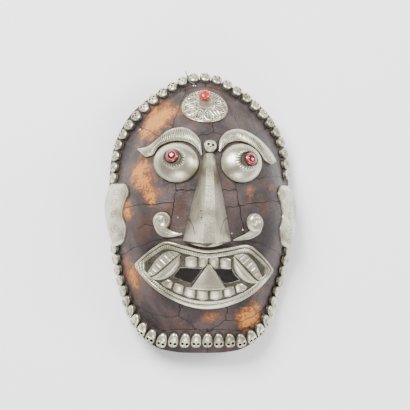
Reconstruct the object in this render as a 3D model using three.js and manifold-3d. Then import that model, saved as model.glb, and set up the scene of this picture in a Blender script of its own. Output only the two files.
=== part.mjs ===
// A ceremonial dance mask: the upper shell of a tortoise, worn as a face, with fittings of beaten
// white metal, glass eyes, a coral on the brow and a loop of thread to hang it by.
//
// Millimetres. X runs across the face, Y up the face and Z out of it, so the mask lies face up on
// the lower edge of its shell. Every shape is worked out about the middle of the face, with Z = 0
// at that edge, and the finished group is moved to centre its box on the origin.

import * as THREE from "three";
import { mergeVertices } from "three/addons/utils/BufferGeometryUtils.js";
import Module from "manifold-3d";

const wasm = await Module();
wasm.setup();

// ---------------------------------------------------------------- driving dimensions

const CROWN = { y: 34, height: 92 }; // the highest point of the shell
const WALL = 4.5; // thickness of the shell
const CLEARANCE = 0.5; // between a fitting and the shell that it lies on
const SKULL_CLEARANCE = 0.75; // between a skull's flat back and the shell
const SHELL_DIRECTIONS = 40;
const SHELL_RINGS = 10;

// The shell's profile, from its crown to its edge, by direction: -90 is the chin, 0 the temples and
// 90 the forehead. radius is the edge's distance from the crown, edge its height, slope its steepness
// in degrees, flank and crown how far the curve holds its direction at either end, and row how far
// out the row of skulls runs.
const PROFILES = [
  { at: -90, radius: 174.5, edge: 26, slope: 26, flank: 34, crown: 0.46, row: 0.87 },
  { at: -80, radius: 175.5, edge: 25.5, slope: 27, flank: 34, crown: 0.47, row: 0.88 },
  { at: -75, radius: 174.5, edge: 24, slope: 30, flank: 34, crown: 0.49, row: 0.91 },
  { at: -68, radius: 166, edge: 19, slope: 40, flank: 34, crown: 0.53, row: 0.92 },
  { at: -60, radius: 147, edge: 9, slope: 58, flank: 36, crown: 0.6, row: 0.93 },
  { at: -50, radius: 128.5, edge: 1, slope: 76, flank: 44, crown: 0.7, row: 0.89 },
  { at: -40, radius: 114.5, edge: 0, slope: 83, flank: 50, crown: 0.77, row: 0.84 },
  { at: -26, radius: 101, edge: 0, slope: 80, flank: 54, crown: 0.82, row: 0.83 },
  { at: -12, radius: 94.3, edge: 0, slope: 75, flank: 54, crown: 0.84, row: 0.84 },
  { at: 6, radius: 93, edge: 0, slope: 66, flank: 50, crown: 0.84, row: 0.87 },
  { at: 26, radius: 96.5, edge: 9, slope: 53, flank: 42, crown: 0.78, row: 0.9 },
  { at: 45, radius: 99.3, edge: 21, slope: 43, flank: 37, crown: 0.69, row: 0.88 },
  { at: 66, radius: 100.3, edge: 31, slope: 40, flank: 34, crown: 0.6, row: 0.93 },
  { at: 90, radius: 103.5, edge: 35, slope: 48, flank: 34, crown: 0.52, row: 0.995 },
];

const HANGING_HOLE = { inset: 9.4, radius: 2 }; // inwards of the middle upper skull
const EYES = {
  left: { x: -28.8, y: 42.7, across: 21.6, up: 19.8, bead: [-2.1, 3.2] },
  right: { x: 34, y: 43.3, across: 20.4, up: 19.6, bead: [4.3, 0.9] },
};
const EYE_DOME = { rim: 0.8, height: 12 }; // above the shell
const EYE_COLLAR = { inner: 6.9, outer: 8, height: 1 };
const BROW = { edge: 1, swell: 3.2 };
const NOSE = { top: 51, bottom: -32.6, apron: 6, topHeight: 8, bottomHeight: 38, edge: 0.9 };
const MOUTH = { x: 1.5, tilt: -0.03, rim: 3.2, border: 7.4, sheet: 1.4, stand: 0.9 };
const TONGUE = { x: 3.9, stand: 3.9, sheet: 0.8, ridge: 0.5, bow: 1.2 };
const EAR = { margin: 4.5, stand: 9, bulge: 1.2, sheet: 1.4 };
const MEDALLION = { x: 0.4, y: 103.4, radius: 22.6, petals: 11, boss: 3 };
const CORAL = { x: 0.2, y: 110.8, radius: 6.4, height: 5.6, girdle: 1.2, stand: 4.2 };
const UPPER_SKULL = { length: 14.5, width: 10.9, height: 5.4 };
const LOWER_SKULL = { length: 16.5, width: 11.2, height: 5.4 };
const NOSE_SKULL = { x: 3.4, y: 58.2, length: 13.4, width: 12.6, height: 7 };
const UPPER_ROW = { from: 178.5, to: 5, count: 26, middle: 12 };
const LOWER_ROW = { from: -141, to: -39, count: 28 };
const PAIR_NUDGE = 0.3; // how far each lower skull leans towards its twin
const THREAD = 0.7; // radius of the hanging thread

// ---------------------------------------------------------------- finishes

const finish = (color, roughness, metalness) =>
  new THREE.MeshStandardMaterial({ color, roughness, metalness });
const SHELL_HORN = finish(0x4f4044, 0.55, 0);
const WHITE_METAL = finish(0xcfcbb8, 0.38, 1);
const RED_GLASS = finish(0x7c1a20, 0.15, 0);
const CORAL_RED = finish(0xc4403a, 0.3, 0);
const GREEN_COTTON = finish(0x5b6b5a, 0.9, 0);

// ---------------------------------------------------------------- the form of the shell

const radians = THREE.MathUtils.degToRad;
const clamp = THREE.MathUtils.clamp;
const mix = THREE.MathUtils.lerp;

/** The slope of one value of PROFILES at a station, level at the chin and the forehead. */
function profileTrend(index, key) {
  const before = PROFILES[index - 1];
  const after = PROFILES[index + 1];
  return before && after ? (after[key] - before[key]) / (after.at - before.at) : 0;
}

/** One value of PROFILES in a direction, in radians about the crown. */
function profile(direction, key) {
  const at = (Math.asin(clamp(Math.sin(direction), -1, 1)) * 180) / Math.PI;
  let index = 0;
  while (index < PROFILES.length - 2 && PROFILES[index + 1].at < at) index += 1;
  const from = PROFILES[index];
  const to = PROFILES[index + 1];
  const span = to.at - from.at;
  const s = (at - from.at) / span;
  const start = profileTrend(index, key) * span;
  const end = profileTrend(index + 1, key) * span;
  return (
    (2 * s ** 3 - 3 * s ** 2 + 1) * from[key] +
    (s ** 3 - 2 * s ** 2 + s) * start +
    (3 * s ** 2 - 2 * s ** 3) * to[key] +
    (s ** 3 - s ** 2) * end
  );
}

/** The shell's profile in a direction: a function from reach, 0 at the crown and 1 at the edge. */
function profileCurve(direction) {
  const radius = profile(direction, "radius");
  const edge = Math.max(0, profile(direction, "edge"));
  const slope = radians(profile(direction, "slope"));
  const flank = profile(direction, "flank");
  const crown = profile(direction, "crown") * radius;
  const knee = { r: radius - flank * Math.cos(slope), z: edge + flank * Math.sin(slope) };
  return (reach) => {
    const back = 1 - reach;
    const a = back ** 3;
    const b = 3 * back ** 2 * reach;
    const c = 3 * back * reach ** 2;
    const d = reach ** 3;
    return {
      r: b * crown + c * knee.r + d * radius,
      z: (a + b) * CROWN.height + c * knee.z + d * edge,
    };
  };
}

/** A point of the shell's outer face. */
function shellPoint(direction, reach) {
  const { r, z } = profileCurve(direction)(reach);
  return new THREE.Vector3(r * Math.cos(direction), CROWN.y + r * Math.sin(direction), z);
}

/** The outward normal of the shell's outer face. */
function shellNormal(direction, reach) {
  const step = 1e-3;
  if (reach < 2 * step) return new THREE.Vector3(0, 0, 1);
  const out = shellPoint(direction, reach).sub(shellPoint(direction, reach - step));
  const round = shellPoint(direction + step, reach).sub(shellPoint(direction - step, reach));
  return out.cross(round).normalize();
}

/** The direction and reach of the shell's point above or below a place on the face. */
function shellPlace(x, y) {
  const direction = Math.atan2(y - CROWN.y, x);
  const distance = Math.hypot(x, y - CROWN.y);
  const curve = profileCurve(direction);
  let low = 0;
  let high = 1;
  for (let step = 0; step < 30; step += 1) {
    const middle = (low + high) / 2;
    if (curve(middle).r < distance) low = middle;
    else high = middle;
  }
  return { direction, reach: (low + high) / 2 };
}

/** The point that stands off the shell by a lift at a place on the face. */
function overShell(x, y, lift) {
  const { direction, reach } = shellPlace(x, y);
  return shellPoint(direction, reach).addScaledVector(shellNormal(direction, reach), lift);
}

/** A flat seat touching the shell: its origin, and its across, up and out directions. */
function seatAt(direction, reach) {
  const origin = shellPoint(direction, reach);
  const out = shellNormal(direction, reach);
  const inward = shellPoint(direction, reach - 0.02).sub(origin);
  const up = inward.addScaledVector(out, -inward.dot(out)).normalize();
  return { origin, out, up, across: up.clone().cross(out) };
}

/** The point of a seat at (across, up), lifted off its plane. */
const onSeat = (seat, across, up, lift) =>
  seat.origin
    .clone()
    .addScaledVector(seat.across, across)
    .addScaledVector(seat.up, up)
    .addScaledVector(seat.out, lift);

/** The point over the shell below the seat's (across, up), found along the seat's out direction. */
function overShellFromSeat(seat, across, up, lift) {
  let drop = 0;
  for (let step = 0; step < 4; step += 1) {
    const trial = onSeat(seat, across, up, drop);
    const { direction, reach } = shellPlace(trial.x, trial.y);
    const below = shellPoint(direction, reach);
    const normal = shellNormal(direction, reach);
    drop -= ((trial.z - below.z) * normal.z) / normal.dot(seat.out);
  }
  const found = onSeat(seat, across, up, drop);
  return overShell(found.x, found.y, lift);
}

// ---------------------------------------------------------------- closed meshes

/** A triangle mesh in the making. */
class Skin {
  positions = [];
  triangles = [];

  point(vector) {
    this.positions.push(vector.x, vector.y, vector.z);
    return this.positions.length / 3 - 1;
  }

  triangle(a, b, c) {
    this.triangles.push(a, b, c);
  }

  quad(a, b, c, d) {
    this.triangle(a, b, c);
    this.triangle(a, c, d);
  }

  /** Six times the enclosed volume: negative where the faces point in. */
  volume() {
    const corner = (index) => new THREE.Vector3().fromArray(this.positions, 3 * index);
    let total = 0;
    for (let i = 0; i < this.triangles.length; i += 3) {
      const [a, b, c] = this.triangles.slice(i, i + 3).map(corner);
      total += a.dot(b.cross(c));
    }
    return total;
  }

  /** The closed mesh, its faces pointing out. */
  geometry() {
    if (this.volume() < 0) this.triangles.reverse();
    const geometry = new THREE.BufferGeometry();
    geometry.setAttribute("position", new THREE.Float32BufferAttribute(this.positions, 3));
    geometry.setIndex(this.triangles);
    return geometry;
  }
}

/** Joins two rings of the same number of points by a band of quads. */
function band(skin, outer, inner) {
  outer.forEach((corner, i) => {
    const next = (i + 1) % outer.length;
    skin.quad(corner, outer[next], inner[next], inner[i]);
  });
}

/** Closes a ring with a fan to one point. */
function fan(skin, ring, hub) {
  ring.forEach((corner, i) => skin.triangle(corner, ring[(i + 1) % ring.length], hub));
}

/** A closed body of rings: each ring is a list of points, between two end points. */
function ringBody(start, rings, end) {
  const skin = new Skin();
  const indices = rings.map((ring) => ring.map((point) => skin.point(point)));
  for (let i = 1; i < indices.length; i += 1) band(skin, indices[i - 1], indices[i]);
  fan(skin, [...indices[0]].reverse(), skin.point(start));
  fan(skin, indices.at(-1), skin.point(end));
  return skin.geometry();
}

/** Even shares from 0 to 1. */
const shares = (count) => Array.from({ length: count + 1 }, (_, i) => i / count);

/** A closed slab between two sheets of points, each a function of (along, across) from 0 to 1. */
function slab(along, across, top, under) {
  const skin = new Skin();
  const sheet = (surface) => along.map((a) => across.map((b) => skin.point(surface(a, b))));
  const upper = sheet(top);
  const lower = sheet(under);
  const lastRow = along.length - 1;
  const lastColumn = across.length - 1;
  for (let i = 0; i < lastRow; i += 1) {
    for (let j = 0; j < lastColumn; j += 1) {
      skin.quad(upper[i][j], upper[i + 1][j], upper[i + 1][j + 1], upper[i][j + 1]);
      skin.quad(lower[i][j], lower[i][j + 1], lower[i + 1][j + 1], lower[i + 1][j]);
    }
    const j = lastColumn;
    skin.quad(lower[i][0], lower[i + 1][0], upper[i + 1][0], upper[i][0]);
    skin.quad(upper[i][j], upper[i + 1][j], lower[i + 1][j], lower[i][j]);
  }
  for (let j = 0; j < lastColumn; j += 1) {
    skin.quad(lower[0][j + 1], lower[0][j], upper[0][j], upper[0][j + 1]);
    skin.quad(lower[lastRow][j], lower[lastRow][j + 1], upper[lastRow][j + 1], upper[lastRow][j]);
  }
  return skin.geometry();
}

/** A plate of concentric rings lying on the shell. outline(angle) is its edge, rise its top's lift. */
function plate({ place, outline, sides, rings, under, rise }) {
  const ring = (share, lift) =>
    Array.from({ length: sides }, (_, i) => {
      const angle = (2 * Math.PI * i) / sides;
      const [x, y] = outline(angle);
      return place(x * share, y * share, CLEARANCE + lift(share, angle));
    });
  const flat = () => 0;
  const bottom = [...under].reverse().map((share) => ring(share, flat));
  const top = rings.map((share) => ring(share, rise));
  return ringBody(place(0, 0, CLEARANCE), [...bottom, ...top], place(0, 0, CLEARANCE + rise(0, 0)));
}

/** A smooth curve through points of the plane, as a function of a share from 0 to 1. */
function curveThrough(points) {
  const curve = new THREE.SplineCurve(points.map(([x, y]) => new THREE.Vector2(x, y)));
  return (share) => curve.getPoint(clamp(share, 0, 1)).toArray();
}

/** A strip lying on the shell between two edge curves, its top raised by rise(along, across). */
function strip({ lower, upper, along, across, rise, sink = 0 }) {
  const spot = (a, b, lift) => {
    const [lowX, lowY] = lower(a);
    const [highX, highY] = upper(a);
    return overShell(mix(lowX, highX, b), mix(lowY, highY, b), CLEARANCE + lift);
  };
  const top = (a, b) => spot(a, b, rise(a, b));
  const under = (a, b) => spot(a, b, sink);
  return slab(shares(along), shares(across), top, under);
}

// ---------------------------------------------------------------- cutting and joining

function toSolid(geometry) {
  const bare = geometry.clone();
  bare.deleteAttribute("normal");
  bare.deleteAttribute("uv");
  const merged = mergeVertices(bare, 1e-5);
  return new wasm.Manifold(
    new wasm.Mesh({
      numProp: 3,
      vertProperties: new Float32Array(merged.attributes.position.array),
      triVerts: new Uint32Array(merged.index.array),
    }),
  );
}

function toGeometry(solid) {
  const { vertProperties, triVerts } = solid.getMesh();
  const geometry = new THREE.BufferGeometry();
  geometry.setAttribute("position", new THREE.BufferAttribute(new Float32Array(vertProperties), 3));
  geometry.setIndex(Array.from(triVerts));
  return geometry;
}

const joined = (...geometries) =>
  toGeometry(geometries.map(toSolid).reduce((whole, next) => whole.add(next)));
const cutBy = (geometry, ...tools) =>
  toGeometry(tools.map(toSolid).reduce((whole, tool) => whole.subtract(tool), toSolid(geometry)));

/** A straight punch through the face, from an outline of the plane. */
function punch(outline) {
  const shape = new THREE.Shape(outline.map(([x, y]) => new THREE.Vector2(x, y)));
  const tool = new THREE.ExtrudeGeometry(shape, { depth: 2 * CROWN.height, bevelEnabled: false });
  return tool.translate(0, 0, -CROWN.height / 2);
}

// ---------------------------------------------------------------- the shell

/** The two eye-shaped openings of the mouth, each side of the tongue. */
const MOUTH_OPENINGS = [
  [[-30.5, -67], [-24.5, -58.6], [-2.2, -59.4], [-12.6, -73.4], [-20.6, -71.4]],
  [[8.2, -59.4], [26, -58.6], [29.5, -65], [35, -69.6], [28, -72], [19.4, -73.4]],
];
const MOUTH_SLOT = [[-29, -66], [-24, -58], [26, -58], [33.5, -68.6], [20, -74], [-13, -74]];

function shellBody() {
  const ring = (reach, depth) =>
    Array.from({ length: SHELL_DIRECTIONS }, (_, i) => {
      const direction = (2 * Math.PI * i) / SHELL_DIRECTIONS;
      const point = shellPoint(direction, reach);
      point.addScaledVector(shellNormal(direction, reach), -depth);
      point.z = Math.max(0, point.z);
      return point;
    });
  const reaches = shares(SHELL_RINGS).slice(1);
  const outside = reaches.map((reach) => ring(reach, 0)).reverse();
  const inside = reaches.map((reach) => ring(reach, WALL));
  const crown = new THREE.Vector3(0, CROWN.y, CROWN.height);
  const vault = new THREE.Vector3(0, CROWN.y, CROWN.height - WALL);
  const seat = upperSeats()[UPPER_ROW.middle];
  const drill = new THREE.CylinderGeometry(HANGING_HOLE.radius, HANGING_HOLE.radius, 6 * WALL, 12);
  drill.applyQuaternion(new THREE.Quaternion().setFromUnitVectors(new THREE.Vector3(0, 1, 0), seat.out));
  drill.translate(...onSeat(seat, 0, HANGING_HOLE.inset, 0).toArray());
  return cutBy(ringBody(vault, [...inside, ...outside], crown), punch(MOUTH_SLOT), drill);
}

// ---------------------------------------------------------------- eyes, brows and nose

/** An eye's outline about its bead, which sits off the middle of the dome. */
function eyeOutline({ across, up, bead }) {
  return (angle) => {
    const [dx, dy] = [Math.cos(angle), Math.sin(angle)];
    const a = (dx / across) ** 2 + (dy / up) ** 2;
    const b = (dx * bead[0]) / across ** 2 + (dy * bead[1]) / up ** 2;
    const c = (bead[0] / across) ** 2 + (bead[1] / up) ** 2 - 1;
    const length = (-b + Math.sqrt(b ** 2 - a * c)) / a;
    return [dx * length, dy * length];
  };
}

/** The lift of an eye's dome at a share of the way out from its bead. */
const eyeLift = (share) => EYE_DOME.rim + EYE_DOME.height * (1 - share ** 2.2) ** 0.75;

/** An eye: a dome with a low collar for its bead. */
function eye(side) {
  const { x, y, bead, across } = side;
  const seatShare = EYE_COLLAR.inner / across;
  const collarShare = EYE_COLLAR.outer / across;
  const seatLift = eyeLift(collarShare);
  const rise = (share) => {
    if (share <= seatShare) return seatLift;
    if (share <= collarShare) return seatLift + EYE_COLLAR.height;
    return eyeLift(share);
  };
  const rings = [1, 0.9, 0.72, 0.54, collarShare + 0.01, collarShare, seatShare];
  return plate({
    place: (u, v, lift) => overShell(x + bead[0] + u, y + bead[1] + v, lift),
    outline: eyeOutline(side),
    sides: 14,
    rings,
    under: [1, 0.5],
    rise,
  });
}

/** A body turned about the shell's normal, from its (radius, height) outline. */
function turnedBody(outline, sides, x, y, lift) {
  const { direction, reach } = shellPlace(x, y);
  const out = shellNormal(direction, reach);
  const turn = new THREE.Quaternion().setFromUnitVectors(new THREE.Vector3(0, 1, 0), out);
  const body = new THREE.LatheGeometry(outline.map(([r, h]) => new THREE.Vector2(r, h)), sides);
  return body.applyQuaternion(turn).translate(...overShell(x, y, lift).toArray());
}

/** A glass bead with a raised pupil, resting inside an eye's collar. */
function eyeBead({ x, y, bead, across }) {
  const floor = eyeLift(EYE_COLLAR.outer / across) + CLEARANCE + 0.35;
  const outline = [[0, 0], [6.3, 0], [6.4, 1.5], [5, 3], [3.4, 3.6], [2.8, 4.1], [0, 4.4]];
  return turnedBody(outline, 8, x + bead[0], y + bead[1], floor);
}

/** A brow: a crescent, rounded across, that thins at both ends. */
function brow(lower, upper) {
  const arch = (share) => Math.sin(Math.PI * clamp(share, 0, 1));
  return strip({
    lower: curveThrough(lower),
    upper: curveThrough(upper),
    along: 14,
    across: 3,
    rise: (a, b) => BROW.edge + BROW.swell * Math.sqrt(arch(b) * mix(0.35, 1, arch(a))),
  });
}

// The edges of each brow, from its outer end to its inner one.
const LEFT_BROW = {
  lower: [
    [-57.5, 50], [-50.9, 51.4], [-45.4, 58.8], [-37, 63],
    [-27.6, 64.4], [-18, 62.8], [-10.4, 57.6], [-5.6, 49.6],
  ],
  upper: [
    [-65, 60.6], [-55.2, 60.9], [-45.9, 67.6], [-35, 76.4],
    [-21.6, 78.6], [-12, 73.2], [-5.6, 64], [-4.1, 50.2],
  ],
};
const RIGHT_BROW = {
  lower: [
    [65.5, 45.4], [58.4, 48], [53.6, 54.2], [46.4, 60.4],
    [38, 64.4], [30, 65], [20.6, 61.8], [12.9, 53.4],
  ],
  upper: [
    [72.2, 51.4], [66.6, 59.4], [56, 68.2], [45.9, 74.4],
    [33, 78.4], [20.9, 75], [13.4, 66.4], [11.4, 54.4],
  ],
};

/** The half widths, centre and height of the nose at a share of the way down. */
function noseSection(share) {
  return {
    x: 3 - 1.7 * share,
    ridgeX: 2.4 - 1.8 * share,
    half: mix(5.2, 23.5, share),
    ridge: mix(2.7, 6.1, share),
    height: mix(NOSE.topHeight, NOSE.bottomHeight, share),
  };
}

/** The nose: a long ridge of three flats that rises and widens to a curved lower edge. */
function nose() {
  const y = (a, b) => mix(NOSE.top, NOSE.bottom - NOSE.apron * Math.sin(Math.PI * b) * a, a);
  const under = (a, b) => {
    const { x, half } = noseSection(a);
    return overShell(x + (2 * b - 1) * half, y(a, b), CLEARANCE);
  };
  const top = (a, b) => {
    const { ridgeX, ridge, height } = noseSection(a);
    if (b === 0 || b === 1) return under(a, b).add(new THREE.Vector3(0, 0, NOSE.edge));
    const base = overShell(ridgeX, y(a, 0.5), 0);
    return new THREE.Vector3(ridgeX + Math.sign(b - 0.5) * ridge, base.y, base.z + height);
  };
  return slab(shares(8), [0, 1 / 3, 2 / 3, 1], top, under);
}

// ---------------------------------------------------------------- skulls

// Half of a skull's outline, from the top of the head to the jaw, as shares of its width and length.
const SKULL_SIDE = [[0.4, 0.36], [0.5, 0.02], [0.36, -0.28], [0.2, -0.5]];
const EYE_CORNER = 1; // the corner of SKULL_SIDE that the socket is pressed in beside

/** A small skull in relief, facing out of its seat, the top of its head towards up. */
function skull(seat, { length, width, height }, turn = 1) {
  const left = SKULL_SIDE.map(([u, v]) => [-u, v]);
  const outline = [[0, 0.5], ...left, ...[...SKULL_SIDE].reverse()];
  const last = outline.length;
  const isSocket = (i) => i === 1 + EYE_CORNER || i === last - 1 - EYE_CORNER;
  const ring = (share, lift) =>
    outline.map(([u, v], i) => onSeat(seat, turn * u * width * share, turn * v * length * share, lift(i)));
  const rings = [
    ring(1, () => SKULL_CLEARANCE),
    ring(1, () => SKULL_CLEARANCE + 0.35 * height),
    ring(0.6, (i) => SKULL_CLEARANCE + (isSocket(i) ? 0.45 : 0.88) * height),
  ];
  const face = onSeat(seat, 0, 0, SKULL_CLEARANCE + height);
  return ringBody(onSeat(seat, 0, 0, SKULL_CLEARANCE), rings, face);
}

/** Seats spaced evenly along the row of skulls between two directions, in degrees. */
function rowOfSeats({ from, to, count }) {
  const samples = 400;
  const direction = (share) => radians(mix(from, to, share));
  const spot = (share) => shellPoint(direction(share), profile(direction(share), "row"));
  const lengths = [0];
  for (let i = 1; i <= samples; i += 1) {
    lengths.push(lengths[i - 1] + spot(i / samples).distanceTo(spot((i - 1) / samples)));
  }
  return Array.from({ length: count }, (_, k) => {
    const wanted = (lengths[samples] * k) / (count - 1);
    const after = Math.max(1, lengths.findIndex((length) => length >= wanted - 1e-9));
    const before = after - 1;
    const share = (before + (wanted - lengths[before]) / (lengths[after] - lengths[before])) / samples;
    const angle = direction(share);
    return seatAt(angle, profile(angle, "row"));
  });
}

const upperSeats = () => rowOfSeats(UPPER_ROW);

/** Upper skulls lie with the tops of their heads outwards. */
const upperSkulls = () => upperSeats().map((seat) => skull(seat, UPPER_SKULL, -1));

/** Lower skulls stand chins outwards, cast in touching pairs. */
function lowerSkullPairs() {
  const seats = rowOfSeats(LOWER_ROW);
  return Array.from({ length: LOWER_ROW.count / 2 }, (_, k) => {
    const pair = seats.slice(2 * k, 2 * k + 2);
    const towards = pair[1].origin.clone().sub(pair[0].origin).normalize();
    pair[0].origin.addScaledVector(towards, PAIR_NUDGE);
    pair[1].origin.addScaledVector(towards, -PAIR_NUDGE);
    return joined(...pair.map((seat) => skull(seat, LOWER_SKULL)));
  });
}

function noseSkull() {
  const { x, y, ...size } = NOSE_SKULL;
  const { direction, reach } = shellPlace(x, y);
  const seat = seatAt(direction, reach);
  return skull(seat, size, Math.sign(seat.up.y));
}

// ---------------------------------------------------------------- mouth and tongue

/** Moves a point of the even mouth to its place on the face. */
const mouthSpot = ([x, y]) => [MOUTH.x + x, y + MOUTH.tilt * x];

const UPPER_LIP = [[67, -53.5], [60, -46.6], [50, -38.6], [39.5, -33.6], [21, -37.4], [0, -40.6]];
const LOWER_LIP = [[66, -58], [59.5, -67], [48, -78.8], [34, -88], [17.5, -94.4], [0, -96.6]];
const bothSides = (half) => [
  ...half.map(([x, y]) => [-x, y]),
  ...half.slice(0, -1).reverse(),
];

/** The lips: one sheet with a raised rim and a border round a sunk field. */
function lips() {
  const upper = curveThrough(bothSides(UPPER_LIP).map(mouthSpot));
  const lower = curveThrough(bothSides(LOWER_LIP).map(mouthSpot));
  const height = (a) => Math.hypot(upper(a)[0] - lower(a)[0], upper(a)[1] - lower(a)[1]);
  const across = (a, b) => {
    const tall = height(a);
    const rim = Math.min(MOUTH.rim / tall, 0.16);
    const border = Math.min(MOUTH.border / tall, 0.34);
    return [0, rim, border, 0.5, 1 - border, 1 - rim, 1][b];
  };
  const lift = [0.9, 1.3, 0.6, 0.8, 0.6, 1.3, 0.9];
  const spot = (a, b, raise) => {
    const share = across(a, b);
    const [lowX, lowY] = lower(a);
    const [highX, highY] = upper(a);
    return overShell(mix(lowX, highX, share), mix(lowY, highY, share), MOUTH.stand + raise);
  };
  return slab(
    shares(20),
    lift.map((_, b) => b),
    (a, b) => spot(a, b, MOUTH.sheet + lift[b]),
    (a, b) => spot(a, b, 0),
  );
}

/** A raised pad on the lips between two edges, each a list of points of the even mouth. */
function mouthPad(lower, upper, { along = 2, across = 1, height = 3.4, edge = 0.55 }) {
  const rounded = (share) => Math.sin(Math.PI * clamp(share, 0, 1)) ** 0.5;
  return strip({
    lower: curveThrough(lower.map(mouthSpot)),
    upper: curveThrough(upper.map(mouthSpot)),
    along,
    across,
    sink: 0.5 * MOUTH.sheet,
    rise: (a, b) => height * mix(edge, 1, rounded(a) * (across > 1 ? rounded(b) : 1)),
  });
}

// The sides of the teeth along the mouth, at their roots and at their tips.
const UPPER_TEETH = { roots: [-22.2, -9, 1.8, 12.2, 24], tips: [-21.6, -8.6, 1.8, 12.6, 24.4] };
const LOWER_TEETH = {
  roots: [-45, -33, -22.4, -9.5, 3.6, 18.2, 30, 43],
  tips: [-37, -30.7, -20.3, -9.4, 3.3, 16.7, 27.8, 35],
};
const upperRoot = (x) => -46.6 - 0.0012 * x ** 2;
const upperTip = (x) => -57.6 - 0.0006 * x ** 2;
const lowerRoot = (x) => -88.4 + 0.0076 * x ** 2;
const lowerTip = (x) => -77.6 + 0.0062 * x ** 2;
const TOOTH_GAP = 0.5;

function teeth({ roots, tips }, rootLine, tipLine) {
  return roots.slice(1).map((_, k) => {
    const [rootA, rootB] = [roots[k] + TOOTH_GAP, roots[k + 1] - TOOTH_GAP];
    const [tipA, tipB] = [tips[k] + TOOTH_GAP, tips[k + 1] - TOOTH_GAP];
    const rootEdge = [[rootA, rootLine(rootA)], [rootB, rootLine(rootB)]];
    const tipEdge = [[tipA, tipLine(tipA)], [tipB, tipLine(tipB)]];
    return mouthPad(rootEdge, tipEdge, {});
  });
}

/** A cheek pad: the half moon that closes one corner of the mouth. */
function cheek(side) {
  const outer = [[27, -44.6], [36, -43], [46, -49.5], [53.5, -60.5], [56.5, -66]];
  const inner = [[25.6, -46.4], [26, -56], [32.5, -65.4], [43, -70.6], [54.5, -69]];
  const mirrored = (points) => points.map(([x, y]) => [side * x, y]);
  return mouthPad(mirrored(inner), mirrored(outer), { along: 5, across: 2, height: 4.6, edge: 0.45 });
}

const mouthPlate = () =>
  cutBy(
    joined(
      lips(),
      ...teeth(UPPER_TEETH, upperRoot, upperTip),
      ...teeth(LOWER_TEETH, lowerRoot, lowerTip),
      cheek(-1),
      cheek(1),
    ),
    ...MOUTH_OPENINGS.map(punch),
  );

/** The tongue: a three-cornered plate that stands on the teeth and the bridge behind it. */
function tongue() {
  const apex = { half: 1.2, y: -53.6 };
  const base = { half: 17.2, y: -76.2 };
  const spot = (a, b, height) => {
    const half = mix(apex.half, base.half, a);
    const y = mix(apex.y, base.y, a) - TONGUE.bow * a * Math.sin(Math.PI * b);
    return overShell(TONGUE.x + (2 * b - 1) * half, y, TONGUE.stand + CLEARANCE + height);
  };
  return slab(
    shares(4),
    [0, 0.5, 1],
    (a, b) => spot(a, b, TONGUE.sheet + (b === 0.5 ? TONGUE.ridge : 0)),
    (a, b) => spot(a, b, 0),
  );
}

// ---------------------------------------------------------------- moustaches, ears, medallion

/** A moustache: a disc with a spiral ridge, and the tail that it grows from. */
function moustache({ x, y, radius, side, tail }) {
  const turns = 1.4;
  const spiral = (share, angle) => {
    const phase = (side * angle) / (2 * Math.PI) - turns * share;
    return 2 + 0.9 * Math.cos(2 * Math.PI * phase) * Math.min(1, 3 * share);
  };
  const disc = plate({
    place: (u, v, lift) => overShell(x + u, y + v, lift),
    outline: (angle) => [radius[0] * Math.cos(angle), radius[1] * Math.sin(angle)],
    sides: 16,
    rings: [1, 0.8, 0.55, 0.3],
    under: [1, 0.5],
    rise: (share, angle) => (share === 1 ? 1.2 : spiral(share, angle)),
  });
  const arm = strip({
    lower: curveThrough(tail.lower),
    upper: curveThrough(tail.upper),
    along: 6,
    across: 2,
    rise: (a, b) => 0.9 + 1.5 * Math.sin(Math.PI * clamp(b, 0, 1)) * (0.4 + 0.6 * a),
  });
  return joined(disc, arm);
}

const LEFT_MOUSTACHE = {
  x: -42.4,
  y: -13.2,
  radius: [8.8, 9],
  side: 1,
  tail: {
    lower: [[-22.8, -26.9], [-31, -29], [-39.5, -28.6], [-46.4, -24.6], [-50.6, -16]],
    upper: [[-22.8, -25.7], [-29.5, -24.6], [-35.6, -21.6], [-39, -18.6], [-41, -14]],
  },
};
const RIGHT_MOUSTACHE = {
  x: 48.2,
  y: -14,
  radius: [8.6, 9],
  side: -1,
  tail: {
    lower: [[27, -32.6], [37, -31.2], [46.3, -28.6], [53.6, -23.6], [56.4, -16]],
    upper: [[27, -31.2], [34.5, -27.4], [41, -24], [45, -20], [47, -14]],
  },
};

/** How far across the face the shell's edge is, at a height up the face. */
function edgeAcross(y) {
  let across = PROFILES.at(-1).radius;
  for (let step = 0; step < 8; step += 1) {
    const direction = Math.atan2(y - CROWN.y, across);
    across = profile(direction, "radius") * Math.cos(direction);
  }
  return across;
}

// The inner edge of an ear, from its lobe to its tip: across the face and up it.
const EAR_INNER = [
  [80.5, -33], [77.2, -28], [76, -18], [79.5, -4],
  [77.6, 7], [73.8, 16.5], [76.5, 25.5], [84, 29.4],
];

/** An ear: a thin leaf, its wavy inner edge on the shell and its outer edge standing off it. */
function ear(side) {
  const inner = curveThrough(EAR_INNER);
  const fullness = (a) => Math.sin(Math.PI * mix(0.05, 0.95, a)) ** 0.5;
  const spot = (a, b, thickness) => {
    const [x, y] = inner(a);
    const outer = Math.max(x + 1.5, edgeAcross(y) - EAR.margin);
    const stand = EAR.stand * fullness(a) * b ** 1.4 + EAR.bulge * Math.sin(Math.PI * b);
    return overShell(side * mix(x, outer, b * fullness(a)), y, CLEARANCE + stand + thickness);
  };
  return slab(
    shares(11),
    shares(3),
    (a, b) => spot(a, b, EAR.sheet),
    (a, b) => spot(a, b, 0),
  );
}

const medallionSeat = () => {
  const { direction, reach } = shellPlace(MEDALLION.x, MEDALLION.y);
  return seatAt(direction, reach);
};

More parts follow.
